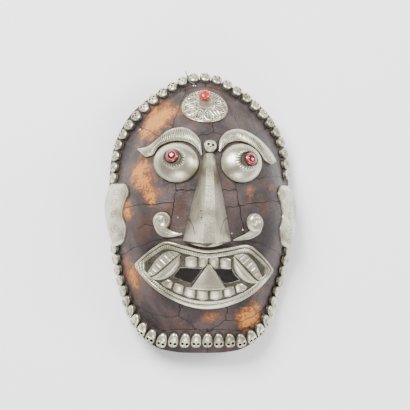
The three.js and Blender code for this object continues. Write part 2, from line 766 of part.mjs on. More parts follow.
/** The medallion: a flower of pressed petals inside a beaded rim. */
function medallion() {
  const seat = medallionSeat();
  const petal = (angle) => Math.cos(MEDALLION.petals * angle) * 0.5 + 0.5;
  const lifts = { 1: 1, 0.94: 1.9, 0.84: 1.1, 0.7: 1.5, 0.42: 2.4, 0.26: MEDALLION.boss };
  const crest = 0.7; // the share of the way out at which the petals stand highest
  return plate({
    place: (u, v, lift) => overShellFromSeat(seat, u, v, lift),
    outline: (angle) => [MEDALLION.radius * Math.cos(angle), MEDALLION.radius * Math.sin(angle)],
    sides: 2 * MEDALLION.petals,
    rings: [1, 0.94, 0.84, crest, 0.42, 0.26],
    under: [1, 0.5],
    rise: (share, angle) =>
      (lifts[share] ?? MEDALLION.boss) + (share === crest ? petal(angle) : 0),
  });
}

/** The coral: a low round bead on the upper part of the medallion. */
function coralBead() {
  const { x, y, radius, height, girdle, stand } = CORAL;
  const dome = [0, 30, 60].map(radians).map((angle) => [
    radius * Math.cos(angle),
    mix(girdle, height, Math.sin(angle)),
  ]);
  const outline = [[0, 0], [0.8 * radius, 0], ...dome, [0, height]];
  return turnedBody(outline, 12, x, y, CLEARANCE + stand);
}

// ---------------------------------------------------------------- the hanging thread

/** A round cord along a smooth path through points. */
function cord(points, steps) {
  const path = new THREE.CatmullRomCurve3(points);
  const section = new THREE.Shape();
  section.absarc(0, 0, THREAD, 0, 2 * Math.PI);
  return new THREE.ExtrudeGeometry(section, { steps, extrudePath: path, curveSegments: 3 });
}

/** The thread: a loop through the hole and round the edge, tied in a knot with one loose end. */
function hangingThread() {
  const seats = upperSeats();
  const seat = seats[UPPER_ROW.middle];
  const valley = seats[UPPER_ROW.middle - 1].origin.clone().sub(seat.origin).dot(seat.across) / 2;
  const spot = ([share, inset, lift]) => onSeat(seat, share * valley, inset, lift);
  const loop = [
    [1, -0.4, 4.5],
    [0.86, 3.2, 3.7],
    [0.6, 7.4, 2.2],
    [0.12, 9.3, 1.6],
    [0, HANGING_HOLE.inset, -2],
    [0.1, 9, -WALL - 1.6],
    [0.5, 4, -WALL - 1.8],
    [0.95, -1.8, -WALL - 1.2],
    [1, -5.4, -1.8],
    [1, -5.2, 2.4],
    [1, -2.4, 4.3],
    [1, -0.2, 4.6],
  ].map(spot);
  const end = [[1, -1, 4.4], [1.06, -3, 5.4], [1.25, -5.6, 8.2]].map(spot);
  const knot = new THREE.IcosahedronGeometry(1.35, 0).translate(...spot([1, -0.6, 4.8]).toArray());
  return joined(cord(loop, 20), cord(end, 3), knot);
}

// ---------------------------------------------------------------- the mask

const mask = new THREE.Group();

function fit(name, geometry, material) {
  const mesh = new THREE.Mesh(geometry, material);
  mesh.name = name;
  mask.add(mesh);
}

fit("shell", shellBody(), SHELL_HORN);
fit("eye_left", eye(EYES.left), WHITE_METAL);
fit("eye_right", eye(EYES.right), WHITE_METAL);
fit("eye_bead_left", eyeBead(EYES.left), RED_GLASS);
fit("eye_bead_right", eyeBead(EYES.right), RED_GLASS);
fit("brow_left", brow(LEFT_BROW.lower, LEFT_BROW.upper), WHITE_METAL);
fit("brow_right", brow(RIGHT_BROW.lower, RIGHT_BROW.upper), WHITE_METAL);
fit("nose", nose(), WHITE_METAL);
fit("nose_skull", noseSkull(), WHITE_METAL);
fit("moustache_left", moustache(LEFT_MOUSTACHE), WHITE_METAL);
fit("moustache_right", moustache(RIGHT_MOUSTACHE), WHITE_METAL);
fit("ear_left", ear(-1), WHITE_METAL);
fit("ear_right", ear(1), WHITE_METAL);
fit("mouth_plate", mouthPlate(), WHITE_METAL);
fit("tongue", tongue(), WHITE_METAL);
fit("medallion", medallion(), WHITE_METAL);
fit("coral_bead", coralBead(), CORAL_RED);
fit("hanging_thread", hangingThread(), GREEN_COTTON);
const numbered = (stem, k) => `${stem}_${String(k + 1).padStart(2, "0")}`;
upperSkulls().forEach((geometry, k) => fit(numbered("upper_skull", k), geometry, WHITE_METAL));
lowerSkullPairs().forEach((geometry, k) => fit(numbered("lower_skull_pair", k), geometry, WHITE_METAL));

const extent = new THREE.Box3().setFromObject(mask);
const middle = extent.getCenter(new THREE.Vector3());
mask.position.set(-middle.x, -middle.y, -extent.min.z);

export default mask;
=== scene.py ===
"""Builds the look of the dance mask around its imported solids: a tortoise shell worn as a face, with
fittings of beaten white metal, glass eyes, a coral on the brow and a thread to hang it by.

Shapes are worked out in millimetres about the middle of the face (X across it, Y up it, Z out of
it, Z = 0 at the shell's lower edge) and turned into metres in the frame's place at the end.
"""

from __future__ import annotations

import logging
import math
from collections.abc import Callable, Sequence
from dataclasses import dataclass, field
from enum import Enum

import bpy
import numpy as np
from mathutils import Matrix, Vector
from mathutils.kdtree import KDTree

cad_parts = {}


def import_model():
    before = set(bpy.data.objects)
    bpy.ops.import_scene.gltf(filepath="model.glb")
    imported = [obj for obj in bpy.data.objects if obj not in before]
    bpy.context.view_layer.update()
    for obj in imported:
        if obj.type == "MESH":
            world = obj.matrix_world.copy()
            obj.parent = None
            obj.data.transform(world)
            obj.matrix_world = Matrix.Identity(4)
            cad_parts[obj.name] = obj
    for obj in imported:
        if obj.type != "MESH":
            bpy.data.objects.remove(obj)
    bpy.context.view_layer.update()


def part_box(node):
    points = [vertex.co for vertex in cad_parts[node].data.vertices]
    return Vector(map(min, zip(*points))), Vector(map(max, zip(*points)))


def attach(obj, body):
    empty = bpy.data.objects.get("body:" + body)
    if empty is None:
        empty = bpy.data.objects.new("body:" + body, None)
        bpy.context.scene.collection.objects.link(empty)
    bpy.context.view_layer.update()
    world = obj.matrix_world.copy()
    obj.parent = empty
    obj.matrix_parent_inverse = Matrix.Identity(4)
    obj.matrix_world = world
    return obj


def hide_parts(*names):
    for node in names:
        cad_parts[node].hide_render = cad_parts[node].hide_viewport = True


LOG = logging.getLogger("mask")
Array = np.ndarray
Outline = Sequence[tuple[float, float]]

MM = 0.001
TURN = 2.0 * math.pi
CROWN_Y = 34.0
CROWN_Z = 92.0
WALL = 4.5
CLEARANCE = 0.5
SKULL_CLEARANCE = 0.75


class Slot(Enum):
    """The material slots of the record."""

    SHELL = "shell_horn"
    METAL = "white_metal"
    GLASS = "red_glass"
    CORAL = "coral"
    COTTON = "cotton"


# ------------------------------------------------------------------ small maths


def mix(start: Array | float, end: Array | float, share: Array | float) -> Array | float:
    """Blends two values.

    Args:
        start: The value at share 0.
        end: The value at share 1.
        share: How far between them.

    Returns:
        The blended value.
    """
    return start + (end - start) * share


def smooth(low: float, high: float, value: Array | float) -> Array | float:
    """Rises smoothly from 0 at low to 1 at high.

    Args:
        low: Where the rise starts.
        high: Where it ends.
        value: The value to place between them.

    Returns:
        The share, from 0 to 1.
    """
    share = np.clip((value - low) / (high - low), 0.0, 1.0)
    return share * share * (3.0 - 2.0 * share)


def arch(share: Array | float) -> Array | float:
    """Half a sine wave over the shares from 0 to 1.

    Args:
        share: The place along it.

    Returns:
        Its height, from 0 to 1.
    """
    return np.sin(math.pi * np.clip(share, 0.0, 1.0))


def hump(distance: Array | float, width: float) -> Array | float:
    """A soft ridge about a distance of 0.

    Args:
        distance: The distance from the ridge's middle.
        width: The distance at which it has fallen to about a third.

    Returns:
        Its height, from 0 to 1.
    """
    return np.exp(-((distance / width) ** 2))


def along_curve(points: Sequence[Sequence[float]], share: Array) -> Array:
    """Samples the smooth curve through points.

    Args:
        points: The points, evenly spaced in share.
        share: Where to sample, from 0 to 1.

    Returns:
        One point for each share, in the last axis.
    """
    knots = np.asarray(points, float)
    last = len(knots) - 1
    place = np.clip(share, 0.0, 1.0) * last
    i = np.minimum(place.astype(int), last - 1)
    w = (place - i)[..., None]
    before, start = knots[np.maximum(i - 1, 0)], knots[i]
    end, after = knots[i + 1], knots[np.minimum(i + 2, last)]
    a, b = (end - before) / 2, (after - start) / 2
    return (
        (2 * start - 2 * end + a + b) * w**3 + (-3 * start + 3 * end - 2 * a - b) * w**2 + a * w + start
    )


def blurred(values: Array, reach: int, around: bool = False) -> Array:
    """Averages a grid of values over a square about each.

    Args:
        values: The grid.
        reach: How many cells the square reaches to each side.
        around: Whether the second axis closes on itself.

    Returns:
        The averaged grid.
    """
    for axis in (0, 1):
        pad = [(0, 0), (0, 0)]
        pad[axis] = (reach + 1, reach)
        total = np.cumsum(np.pad(values, pad, "wrap" if around and axis else "edge"), axis=axis)
        width = 2 * reach + 1
        count = values.shape[axis]
        upper = np.take(total, range(width, width + count), axis=axis)
        values = (upper - np.take(total, range(count), axis=axis)) / width
    return values


def hollows(lift: Array, reach: int, depth: float, around: bool = False) -> Array:
    """How far each point of a relief lies below what surrounds it.

    Args:
        lift: The relief's heights in millimetres.
        reach: How many cells the surroundings reach to each side.
        depth: The depth in millimetres that counts as 1.
        around: Whether the second axis closes on itself.

    Returns:
        The depth of each point, from 0 to 1.
    """
    return np.clip((blurred(lift, reach, around) - lift) / depth, 0.0, 1.0)


# ------------------------------------------------------------------ the form of the shell


@dataclass(frozen=True)
class Station:
    """The shell's profile in one direction: -90 is the chin, 0 the temples and 90 the forehead."""

    at: float
    radius: float
    edge: float
    slope: float
    flank: float
    crown: float
    row: float


STATIONS = (
    Station(-90, 174.5, 26, 26, 34, 0.46, 0.87),
    Station(-80, 175.5, 25.5, 27, 34, 0.47, 0.88),
    Station(-75, 174.5, 24, 30, 34, 0.49, 0.91),
    Station(-68, 166, 19, 40, 34, 0.53, 0.92),
    Station(-60, 147, 9, 58, 36, 0.6, 0.93),
    Station(-50, 128.5, 1, 76, 44, 0.7, 0.89),
    Station(-40, 114.5, 0, 83, 50, 0.77, 0.84),
    Station(-26, 101, 0, 80, 54, 0.82, 0.83),
    Station(-12, 94.3, 0, 75, 54, 0.84, 0.84),
    Station(6, 93, 0, 66, 50, 0.84, 0.87),
    Station(26, 96.5, 9, 53, 42, 0.78, 0.9),
    Station(45, 99.3, 21, 43, 37, 0.69, 0.88),
    Station(66, 100.3, 31, 40, 34, 0.6, 0.93),
    Station(90, 103.5, 35, 48, 34, 0.52, 0.995),
)


@dataclass
class Seat:
    """A flat seat touching the shell, with its own across, up and out directions."""

    origin: Array
    across: Array
    up: Array
    out: Array

    def point(self, across: Array | float, up: Array | float, lift: Array | float) -> Array:
        """Places points on the seat.

        Args:
            across: Distances across it.
            up: Distances up it.
            lift: Distances off its plane.

        Returns:
            The points.
        """
        across, up, lift = np.broadcast_arrays(across, up, lift)
        return (
            self.origin
            + across[..., None] * self.across
            + up[..., None] * self.up
            + lift[..., None] * self.out
        )

    def turn(self, sign: float = 1.0) -> tuple[float, float, float, float]:
        """The quaternion that turns a template onto the seat.

        Args:
            sign: -1 turns it half way round on the seat.

        Returns:
            The quaternion, w first.
        """
        axes = np.stack([sign * self.across, sign * self.up, self.out], axis=1)
        return tuple(Matrix(axes.tolist()).to_quaternion())


class Form:
    """The outer face of the shell, a vault whose profile changes with direction about its crown."""

    def __init__(self, stations: Sequence[Station]) -> None:
        """Reads the stations.

        Args:
            stations: The profiles, in order of direction.
        """
        names = ("radius", "edge", "slope", "flank", "crown", "row")
        self.at = np.array([station.at for station in stations], float)
        self.values = {n: np.array([getattr(s, n) for s in stations], float) for n in names}
        self.trends = {name: self._trend(values) for name, values in self.values.items()}

    def _trend(self, values: Array) -> Array:
        """The slope of one value at every station, level at both ends."""
        inner = (values[2:] - values[:-2]) / (self.at[2:] - self.at[:-2])
        return np.concatenate([[0.0], inner, [0.0]])

    def profile(self, direction: Array, name: str) -> Array:
        """One value of the profile.

        Args:
            direction: Directions about the crown, in radians.
            name: The value's name.

        Returns:
            The value in each direction.
        """
        at = np.degrees(np.arcsin(np.clip(np.sin(direction), -1, 1)))
        i = np.clip(np.searchsorted(self.at, at) - 1, 0, len(self.at) - 2)
        span = self.at[i + 1] - self.at[i]
        s = (at - self.at[i]) / span
        values, trends = self.values[name], self.trends[name]
        return (
            (2 * s**3 - 3 * s**2 + 1) * values[i]
            + (s**3 - 2 * s**2 + s) * trends[i] * span
            + (3 * s**2 - 2 * s**3) * values[i + 1]
            + (s**3 - s**2) * trends[i + 1] * span
        )

    def _knots(self, direction: Array) -> tuple[Array, ...]:
        """The reach of the crown, the knee's place and the edge's place in each direction."""
        radius = self.profile(direction, "radius")
        edge = np.maximum(0.0, self.profile(direction, "edge"))
        slope = np.radians(self.profile(direction, "slope"))
        flank = self.profile(direction, "flank")
        crown = self.profile(direction, "crown") * radius
        return crown, radius - flank * np.cos(slope), edge + flank * np.sin(slope), radius, edge

    @staticmethod
    def _distance(knots: tuple[Array, ...], reach: Array) -> Array:
        """The distance from the crown's axis."""
        crown, knee, _, radius, _ = knots
        back = 1 - reach
        return 3 * back**2 * reach * crown + 3 * back * reach**2 * knee + reach**3 * radius

    def point(self, direction: Array | float, reach: Array | float) -> Array:
        """Points of the outer face.

        Args:
            direction: Directions about the crown, in radians.
            reach: 0 at the crown and 1 at the edge.

        Returns:
            The points.
        """
        direction, reach = np.broadcast_arrays(direction, reach)
        knots = self._knots(direction)
        r = self._distance(knots, reach)
        back = 1 - reach
        z = (back**3 + 3 * back**2 * reach) * CROWN_Z
        z = z + 3 * back * reach**2 * knots[2] + reach**3 * knots[4]
        return np.stack([r * np.cos(direction), CROWN_Y + r * np.sin(direction), z], axis=-1)

    def normal(self, direction: Array | float, reach: Array | float) -> Array:
        """Outward normals of the outer face.

        Args:
            direction: Directions about the crown, in radians.
            reach: 0 at the crown and 1 at the edge.

        Returns:
            The normals.
        """
        step = 1e-3
        reach = np.maximum(reach, 2 * step)
        out = self.point(direction, reach) - self.point(direction, reach - step)
        round_ = self.point(direction + step, reach) - self.point(direction - step, reach)
        cross = np.cross(out, round_)
        return cross / np.linalg.norm(cross, axis=-1, keepdims=True)

    def place(self, x: Array | float, y: Array | float) -> tuple[Array, Array]:
        """Finds places of the face on the shell.

        Args:
            x: Places across the face.
            y: Places up the face.

        Returns:
            Their directions and reaches.
        """
        x, y = np.broadcast_arrays(np.asarray(x, float), np.asarray(y, float))
        direction = np.arctan2(y - CROWN_Y, x)
        distance = np.hypot(x, y - CROWN_Y)
        knots = self._knots(direction)
        low, high = np.zeros_like(distance), np.ones_like(distance)
        for _ in range(26):
            middle = (low + high) / 2
            inside = self._distance(knots, middle) < distance
            low, high = np.where(inside, middle, low), np.where(inside, high, middle)
        return direction, (low + high) / 2

    def over(self, x: Array | float, y: Array | float, lift: Array | float) -> Array:
        """Points that stand off the shell.

        Args:
            x: Places across the face.
            y: Places up the face.
            lift: Their distances off the shell.

        Returns:
            The points.
        """
        direction, reach = self.place(x, y)
        off = np.asarray(lift, float)[..., None] * self.normal(direction, reach)
        return self.point(direction, reach) + off

    def seat(self, direction: float, reach: float) -> Seat:
        """A flat seat on the shell.

        Args:
            direction: Its direction about the crown.
            reach: How far out it is.

        Returns:
            The seat, its up direction pointing towards the crown.
        """
        origin = self.point(direction, reach)
        out = self.normal(direction, reach)
        inward = self.point(direction, reach - 0.02) - origin
        up = inward - out * inward.dot(out)
        up /= np.linalg.norm(up)
        return Seat(origin, np.cross(up, out), up, out)

    def seat_at(self, x: float, y: float) -> Seat:
        """A flat seat on the shell at a place of the face.

        Args:
            x: The place across the face.
            y: The place up the face.

        Returns:
            The seat.
        """
        direction, reach = self.place(x, y)
        return self.seat(float(direction), float(reach))

    def row(self, start: float, end: float, count: int) -> list[Seat]:
        """Seats spaced evenly along the row of skulls.

        Args:
            start: The first seat's direction, in degrees.
            end: The last seat's direction, in degrees.
            count: How many seats there are.

        Returns:
            The seats.
        """
        direction = np.radians(np.linspace(start, end, 401))
        spots = self.point(direction, self.profile(direction, "row"))
        steps = np.linalg.norm(np.diff(spots, axis=0), axis=1)
        length = np.concatenate([[0.0], np.cumsum(steps)])
        angles = np.interp(np.linspace(0, length[-1], count), length, direction)
        return [self.seat(a, float(self.profile(np.array(a), "row"))) for a in angles]

    def under_seat(self, seat: Seat, across: Array, up: Array, lift: Array) -> Array:
        """Points over the shell that lie below places of a seat.

        Args:
            seat: The seat.
            across: Distances across it.
            up: Distances up it.
            lift: Distances off the shell.

        Returns:
            The points.
        """
        drop = np.zeros_like(across)
        for _ in range(4):
            trial = seat.point(across, up, drop)
            direction, reach = self.place(trial[..., 0], trial[..., 1])
            below, normal = self.point(direction, reach), self.normal(direction, reach)
            drop = drop - (trial[..., 2] - below[..., 2]) * normal[..., 2] / (normal @ seat.out)
        found = seat.point(across, up, drop)
        return self.over(found[..., 0], found[..., 1], lift)


# ------------------------------------------------------------------ meshes


class Solid:
    """Closed skins gathered into one mesh, in millimetres about the middle of the face."""

    def __init__(self) -> None:
        """Starts with nothing."""
        self.points: list[Array] = []
        self.hollow: list[Array] = []
        self.faces: list[list[int]] = []
        self.count = 0

    def _take(self, points: Array, hollow: Array | float) -> Array:
        """Adds points and returns their indices in the same arrangement."""
        shape = points.shape[:-1]
        flat = points.reshape(-1, 3)
        self.points.append(flat)
        self.hollow.append(np.broadcast_to(hollow, shape).reshape(-1))
        index = np.arange(self.count, self.count + len(flat)).reshape(shape)
        self.count += len(flat)
        return index

    def _quads(self, a: Array, b: Array, c: Array, d: Array) -> None:
        """Adds quads between four arrays of indices."""
        self.faces.extend(np.stack([a, b, c, d], axis=-1).reshape(-1, 4).tolist())

    def _settle(self, first_face: int) -> None:
        """Turns the faces added last outwards if they enclose a negative volume."""
        points = np.concatenate(self.points)
        total = 0.0
        for face in self.faces[first_face:]:
            corner = points[face]
            total += corner[0].dot(np.cross(corner[1:-1], corner[2:]).sum(axis=0))
        if total < 0:
            self.faces[first_face:] = [face[::-1] for face in self.faces[first_face:]]

    def slab(self, top: Array, under: Array, hollow: Array | float = 0.0) -> Solid:
        """Adds a closed slab between two grids with the same number of rows.

        Args:
            top: The upper grid of points.
            under: The lower grid, which may have fewer columns.
            hollow: How deep each point of the top lies in its relief.

        Returns:
            This solid.
        """
        first = len(self.faces)
        t, u = self._take(top, hollow), self._take(under, 0.0)
        self._quads(t[:-1, :-1], t[1:, :-1], t[1:, 1:], t[:-1, 1:])
        self._quads(u[:-1, :-1], u[:-1, 1:], u[1:, 1:], u[1:, :-1])
        self._quads(u[:-1, 0], u[1:, 0], t[1:, 0], t[:-1, 0])
        self._quads(t[:-1, -1], t[1:, -1], u[1:, -1], u[:-1, -1])
        self.faces.append([*t[0], *u[0][::-1]])
        self.faces.append([*u[-1], *t[-1][::-1]])
        self._settle(first)
        return self

    def rings(self, rings: Array, start: Array, end: Array, hollow: Array | float = 0.0) -> Solid:
        """Adds a closed body of rings between two end points.

        Args:
            rings: The rings, in order, as (ring, point, xyz).
            start: The point that closes the first ring.
            end: The point that closes the last ring.
            hollow: How deep each point lies in its relief.

        Returns:
            This solid.
        """
        first = len(self.faces)
        index = self._take(rings, hollow)
        ahead = np.roll(index, -1, axis=1)
        self._quads(index[:-1], ahead[:-1], ahead[1:], index[1:])
        ends = np.broadcast_to(hollow, rings.shape[:-1])
        for ring, follow, hub, level in (
            (ahead[0], index[0], start, ends[0].mean()),
            (index[-1], ahead[-1], end, ends[-1].mean()),
        ):
            tip = int(self._take(hub.reshape(1, 3), level)[0])
            self.faces.extend([int(a), int(b), tip] for a, b in zip(ring, follow, strict=True))
        self._settle(first)
        return self

    def mesh(self, name: str, shift: float, sharp: float) -> bpy.types.Mesh:
        """Makes the mesh.

        Args:
            name: Its name.
            shift: How far up the face the frame's origin moves it, in millimetres.
            sharp: The angle in degrees past which an edge stays sharp.

        Returns:
            The mesh, in metres.
        """
        points = (np.concatenate(self.points) + (0.0, shift, 0.0)) * MM
        mesh = bpy.data.meshes.new(name)
        mesh.from_pydata(points.tolist(), [], self.faces)
        depth = mesh.attributes.new("hollow", "FLOAT", "POINT")
        depth.data.foreach_set("value", np.concatenate(self.hollow).astype(np.float32))
        mesh.set_sharp_from_angle(angle=math.radians(sharp))
        return mesh


def tube(path: Array, radius: Array | float, sides: int, reference: Array) -> tuple[Array, Array, Array]:
    """Sweeps a circle along a path.

    Args:
        path: The path's points.
        radius: The circle's radius, or one for each point.
        sides: How many sides it has.
        reference: A direction that the path never follows.

    Returns:
        The rings, and the two points that close them.
    """
    ahead = np.gradient(path, axis=0)
    ahead /= np.linalg.norm(ahead, axis=1, keepdims=True)
    side = np.cross(ahead, reference)
    side /= np.linalg.norm(side, axis=1, keepdims=True)
    other = np.cross(ahead, side)
    angle = np.linspace(0, TURN, sides, endpoint=False)
    radius = np.broadcast_to(radius, len(path))[:, None, None]
    round_ = np.cos(angle)[None, :, None] * side[:, None] + np.sin(angle)[None, :, None] * other[:, None]
    return path[:, None] + radius * round_, path[0], path[-1]


class Scatter:
    """Copies of one template at many places, made with geometry nodes."""

    SEED = 7

    def __init__(self, material: bpy.types.Material, wobble: float) -> None:
        """Makes the node group.

        Args:
            material: The copies' material.
            wobble: How far each copy may turn about each of its axes, in radians.
        """
        tree = bpy.data.node_groups.new("scatter", "GeometryNodeTree")
        face = tree.interface
        face.new_socket("Geometry", in_out="INPUT", socket_type="NodeSocketGeometry")
        self.template, self.material, self.wobble = (
            face.new_socket(label, in_out="INPUT", socket_type=f"NodeSocket{kind}").identifier
            for label, kind in (("Template", "Object"), ("Material", "Material"), ("Wobble", "Float"))
        )
        face.new_socket("Geometry", in_out="OUTPUT", socket_type="NodeSocketGeometry")
        nodes, link = tree.nodes, tree.links.new
        entry, leave = nodes.new("NodeGroupInput"), nodes.new("NodeGroupOutput")
        source = nodes.new("GeometryNodeObjectInfo")
        copies = nodes.new("GeometryNodeInstanceOnPoints")
        turn, size = (nodes.new("GeometryNodeInputNamedAttribute") for _ in range(2))
        turn.data_type, size.data_type = "QUATERNION", "FLOAT_VECTOR"
        turn.inputs["Name"].default_value, size.inputs["Name"].default_value = "turn", "size"
        chance = nodes.new("FunctionNodeRandomValue")
        chance.data_type = "FLOAT_VECTOR"
        chance.inputs["Seed"].default_value = self.SEED
        chance.inputs["Min"].default_value = (-1, -1, -1)
        chance.inputs["Max"].default_value = (1, 1, 1)
        amount = nodes.new("ShaderNodeVectorMath")
        amount.operation = "SCALE"
        spin = nodes.new("FunctionNodeRotateRotation")
        spin.rotation_space = "LOCAL"
        real, paint = nodes.new("GeometryNodeRealizeInstances"), nodes.new("GeometryNodeSetMaterial")
        link(entry.outputs["Geometry"], copies.inputs["Points"])
        link(entry.outputs["Template"], source.inputs["Object"])
        link(source.outputs["Geometry"], copies.inputs["Instance"])
        link(chance.outputs["Value"], amount.inputs[0])
        link(entry.outputs["Wobble"], amount.inputs["Scale"])
        link(turn.outputs["Attribute"], spin.inputs["Rotation"])
        link(amount.outputs["Vector"], spin.inputs["Rotate By"])
        link(spin.outputs["Rotation"], copies.inputs["Rotation"])
        link(size.outputs["Attribute"], copies.inputs["Scale"])
        link(copies.outputs["Instances"], real.inputs["Geometry"])
        link(real.outputs["Geometry"], paint.inputs["Geometry"])
        link(entry.outputs["Material"], paint.inputs["Material"])
        link(paint.outputs["Geometry"], leave.inputs["Geometry"])
        self.tree, self.finish, self.amount = tree, material, wobble

    def mesh(
        self, name: str, template: bpy.types.Mesh, places: Array, turns: Sequence, sizes: Array
    ) -> bpy.types.Mesh:
        """Copies a template to many places.

        Args:
            name: The new mesh's name.
            template: The mesh that is copied.
            places: The copies' places, in metres.
            turns: Their quaternions.
            sizes: Their sizes along the template's axes.

        Returns:
            The copies, as one plain mesh.
        """
        points = bpy.data.meshes.new(name)
        points.from_pydata(np.asarray(places).tolist(), [], [])
        turn = points.attributes.new("turn", "QUATERNION", "POINT")
        turn.data.foreach_set("value", np.asarray(turns, np.float32).ravel())
        size = points.attributes.new("size", "FLOAT_VECTOR", "POINT")
        size.data.foreach_set("vector", np.asarray(sizes, np.float32).ravel())
        holder = bpy.data.objects.new(name, points)
        sample = bpy.data.objects.new(name + "_template", template)
        for thing in (holder, sample):
            bpy.context.scene.collection.objects.link(thing)
        modifier = holder.modifiers.new("scatter", "NODES")
        modifier.node_group = self.tree
        modifier[self.template] = sample
        modifier[self.material] = self.finish
        modifier[self.wobble] = self.amount
        graph = bpy.context.evaluated_depsgraph_get()
        graph.update()
        made = bpy.data.meshes.new_from_object(holder.evaluated_get(graph), depsgraph=graph)
        made.name = name
        for thing in (holder, sample):
            bpy.data.objects.remove(thing)
        bpy.data.meshes.remove(points)
        return made


# ------------------------------------------------------------------ shading


def colour(code: str) -> tuple[float, float, float, float]:
    """Reads a display colour.

    Args:
        code: Six hexadecimal digits.

    Returns:
        The linear colour.
    """
    parts = [int(code[i : i + 2], 16) / 255 for i in (0, 2, 4)]
    return (*((p / 12.92) if p <= 0.04045 else ((p + 0.055) / 1.055) ** 2.4 for p in parts), 1.0)


class Signal:
    """A value in a shader, with arithmetic."""

    def __init__(self, shader: Shader, socket: bpy.types.NodeSocket) -> None:
        """Wraps a socket.

        Args:
            shader: The shader that the socket is in.
            socket: The socket.
        """
        self.shader, self.socket = shader, socket

    def _math(self, operation: str, *others: Signal | float) -> Signal:
        """Adds a maths node."""
        return self.shader.node("ShaderNodeMath", (self, *others), operation=operation)

    def __add__(self, other: Signal | float) -> Signal:
        return self._math("ADD", other)

    def __sub__(self, other: Signal | float) -> Signal:
        return self._math("SUBTRACT", other)

    def __mul__(self, other: Signal | float) -> Signal:
        return self._math("MULTIPLY", other)

    def __truediv__(self, other: Signal | float) -> Signal:
        return self._math("DIVIDE", other)

    __radd__, __rmul__ = __add__, __mul__

    def __rsub__(self, other: float) -> Signal:
        return (self * -1.0) + other

    def absolute(self) -> Signal:
        """Returns its size without its sign."""
        return self._math("ABSOLUTE")

    def sine(self) -> Signal:
        """Returns its sine."""
        return self._math("SINE")

    def most(self, other: Signal | float) -> Signal:
        """Returns the larger of two values.

        Args:
            other: The other value.

        Returns:
            The larger one.
        """
        return self._math("MAXIMUM", other)

    def between(self, low: float, high: float) -> Signal:
        """Rises smoothly from 0 at low to 1 at high.

        Args:
            low: Where the rise starts.
            high: Where it ends.

        Returns:
            The share.
        """
        node = self.shader.tree.nodes.new("ShaderNodeMapRange")
        node.interpolation_type = "SMOOTHSTEP"
        node.inputs["From Min"].default_value = low
        node.inputs["From Max"].default_value = high
        self.shader.tree.links.new(self.socket, node.inputs["Value"])
        return Signal(self.shader, node.outputs["Result"])


class Shader:
    """One procedural material in the making."""

    def __init__(self, name: str, **constants: float) -> None:
        """Starts a material.

        Args:
            name: Its name.
            **constants: Settings of its surface that don't vary.
        """
        self.material = bpy.data.materials.new(name)
        self.material.use_nodes = True
        self.tree = self.material.node_tree
        self.surface = next(n for n in self.tree.nodes if n.type == "BSDF_PRINCIPLED")
        self.position = self.tree.nodes.new("ShaderNodeTexCoord").outputs["Object"]
        for key, value in constants.items():
            self.surface.inputs[key.replace("_", " ").title().replace("Ior", "IOR")].default_value = value

    def node(self, kind: str, inputs: Sequence[Signal | float], **settings: object) -> Signal:
        """Adds a node with its inputs in order.

        Args:
            kind: The node's type.
            inputs: Values for its inputs.
            **settings: Its settings.

        Returns:
            Its first output.
        """
        node = self.tree.nodes.new(kind)
        for key, value in settings.items():
            setattr(node, key, value)
        for socket, value in zip(node.inputs, inputs, strict=False):
            if isinstance(value, Signal):
                self.tree.links.new(value.socket, socket)
            else:
                socket.default_value = value
        return Signal(self, node.outputs[0])

    def noise(self, scale: float, detail: float = 3.0, distortion: float = 0.0) -> Signal:
        """Adds noise over the object.

        Args:
            scale: Its features per metre.
            detail: How many finer layers it has.
            distortion: How much it is warped.

        Returns:
            The noise, about 0.5.
        """
        node = self.tree.nodes.new("ShaderNodeTexNoise")
        node.inputs["Scale"].default_value = scale
        node.inputs["Detail"].default_value = detail
        node.inputs["Distortion"].default_value = distortion
        self.tree.links.new(self.position, node.inputs["Vector"])
        return Signal(self, node.outputs[0])

    def attribute(self, name: str) -> Signal:
        """Reads a value stored on the mesh.

        Args:
            name: The attribute's name.

        Returns:
            Its value.
        """
        node = self.tree.nodes.new("ShaderNodeAttribute")
        node.attribute_name = name
        return Signal(self, node.outputs["Fac"])

    def near(self, x: float, y: float, z: float, size: float) -> Signal:
        """How near the surface is to a place.

        Args:
            x: The place, in metres.
            y: The place, in metres.
            z: The place, in metres.
            size: The distance at which nearness has fallen to 0.

        Returns:
            1 at the place and 0 at the distance.
        """
        node = self.tree.nodes.new("ShaderNodeVectorMath")
        node.operation = "DISTANCE"
        self.tree.links.new(self.position, node.inputs[0])
        node.inputs[1].default_value = (x, y, z)
        return (1.0 - Signal(self, node.outputs["Value"]) / size).most(0.0)

    def blend(self, start: Signal | tuple, end: Signal | tuple, share: Signal) -> Signal:
        """Blends two colours.

        Args:
            start: The colour at share 0.
            end: The colour at share 1.
            share: How far between them.

        Returns:
            The blended colour.
        """
        node = self.tree.nodes.new("ShaderNodeMix")
        node.data_type = "RGBA"
        for socket, value in ((node.inputs[0], share), (node.inputs[6], start), (node.inputs[7], end)):
            if isinstance(value, Signal):
                self.tree.links.new(value.socket, socket)
            else:
                socket.default_value = value
        return Signal(self, node.outputs[2])

    def set(self, name: str, value: Signal) -> None:
        """Feeds a varying value to the surface.

        Args:
            name: The surface's input.
            value: The value.
        """
        self.tree.links.new(value.socket, self.surface.inputs[name])

    def bump(self, height: Signal, depth: float, strength: float = 1.0) -> None:
        """Gives the surface a fine relief.

        Args:
            height: The relief's height, from 0 to 1.
            depth: The relief's depth in metres.
            strength: How strongly it shows.
        """
        node = self.tree.nodes.new("ShaderNodeBump")
        node.inputs["Distance"].default_value = depth
        node.inputs["Strength"].default_value = strength
        self.tree.links.new(height.socket, node.inputs["Height"])
        self.tree.links.new(node.outputs["Normal"], self.surface.inputs["Normal"])


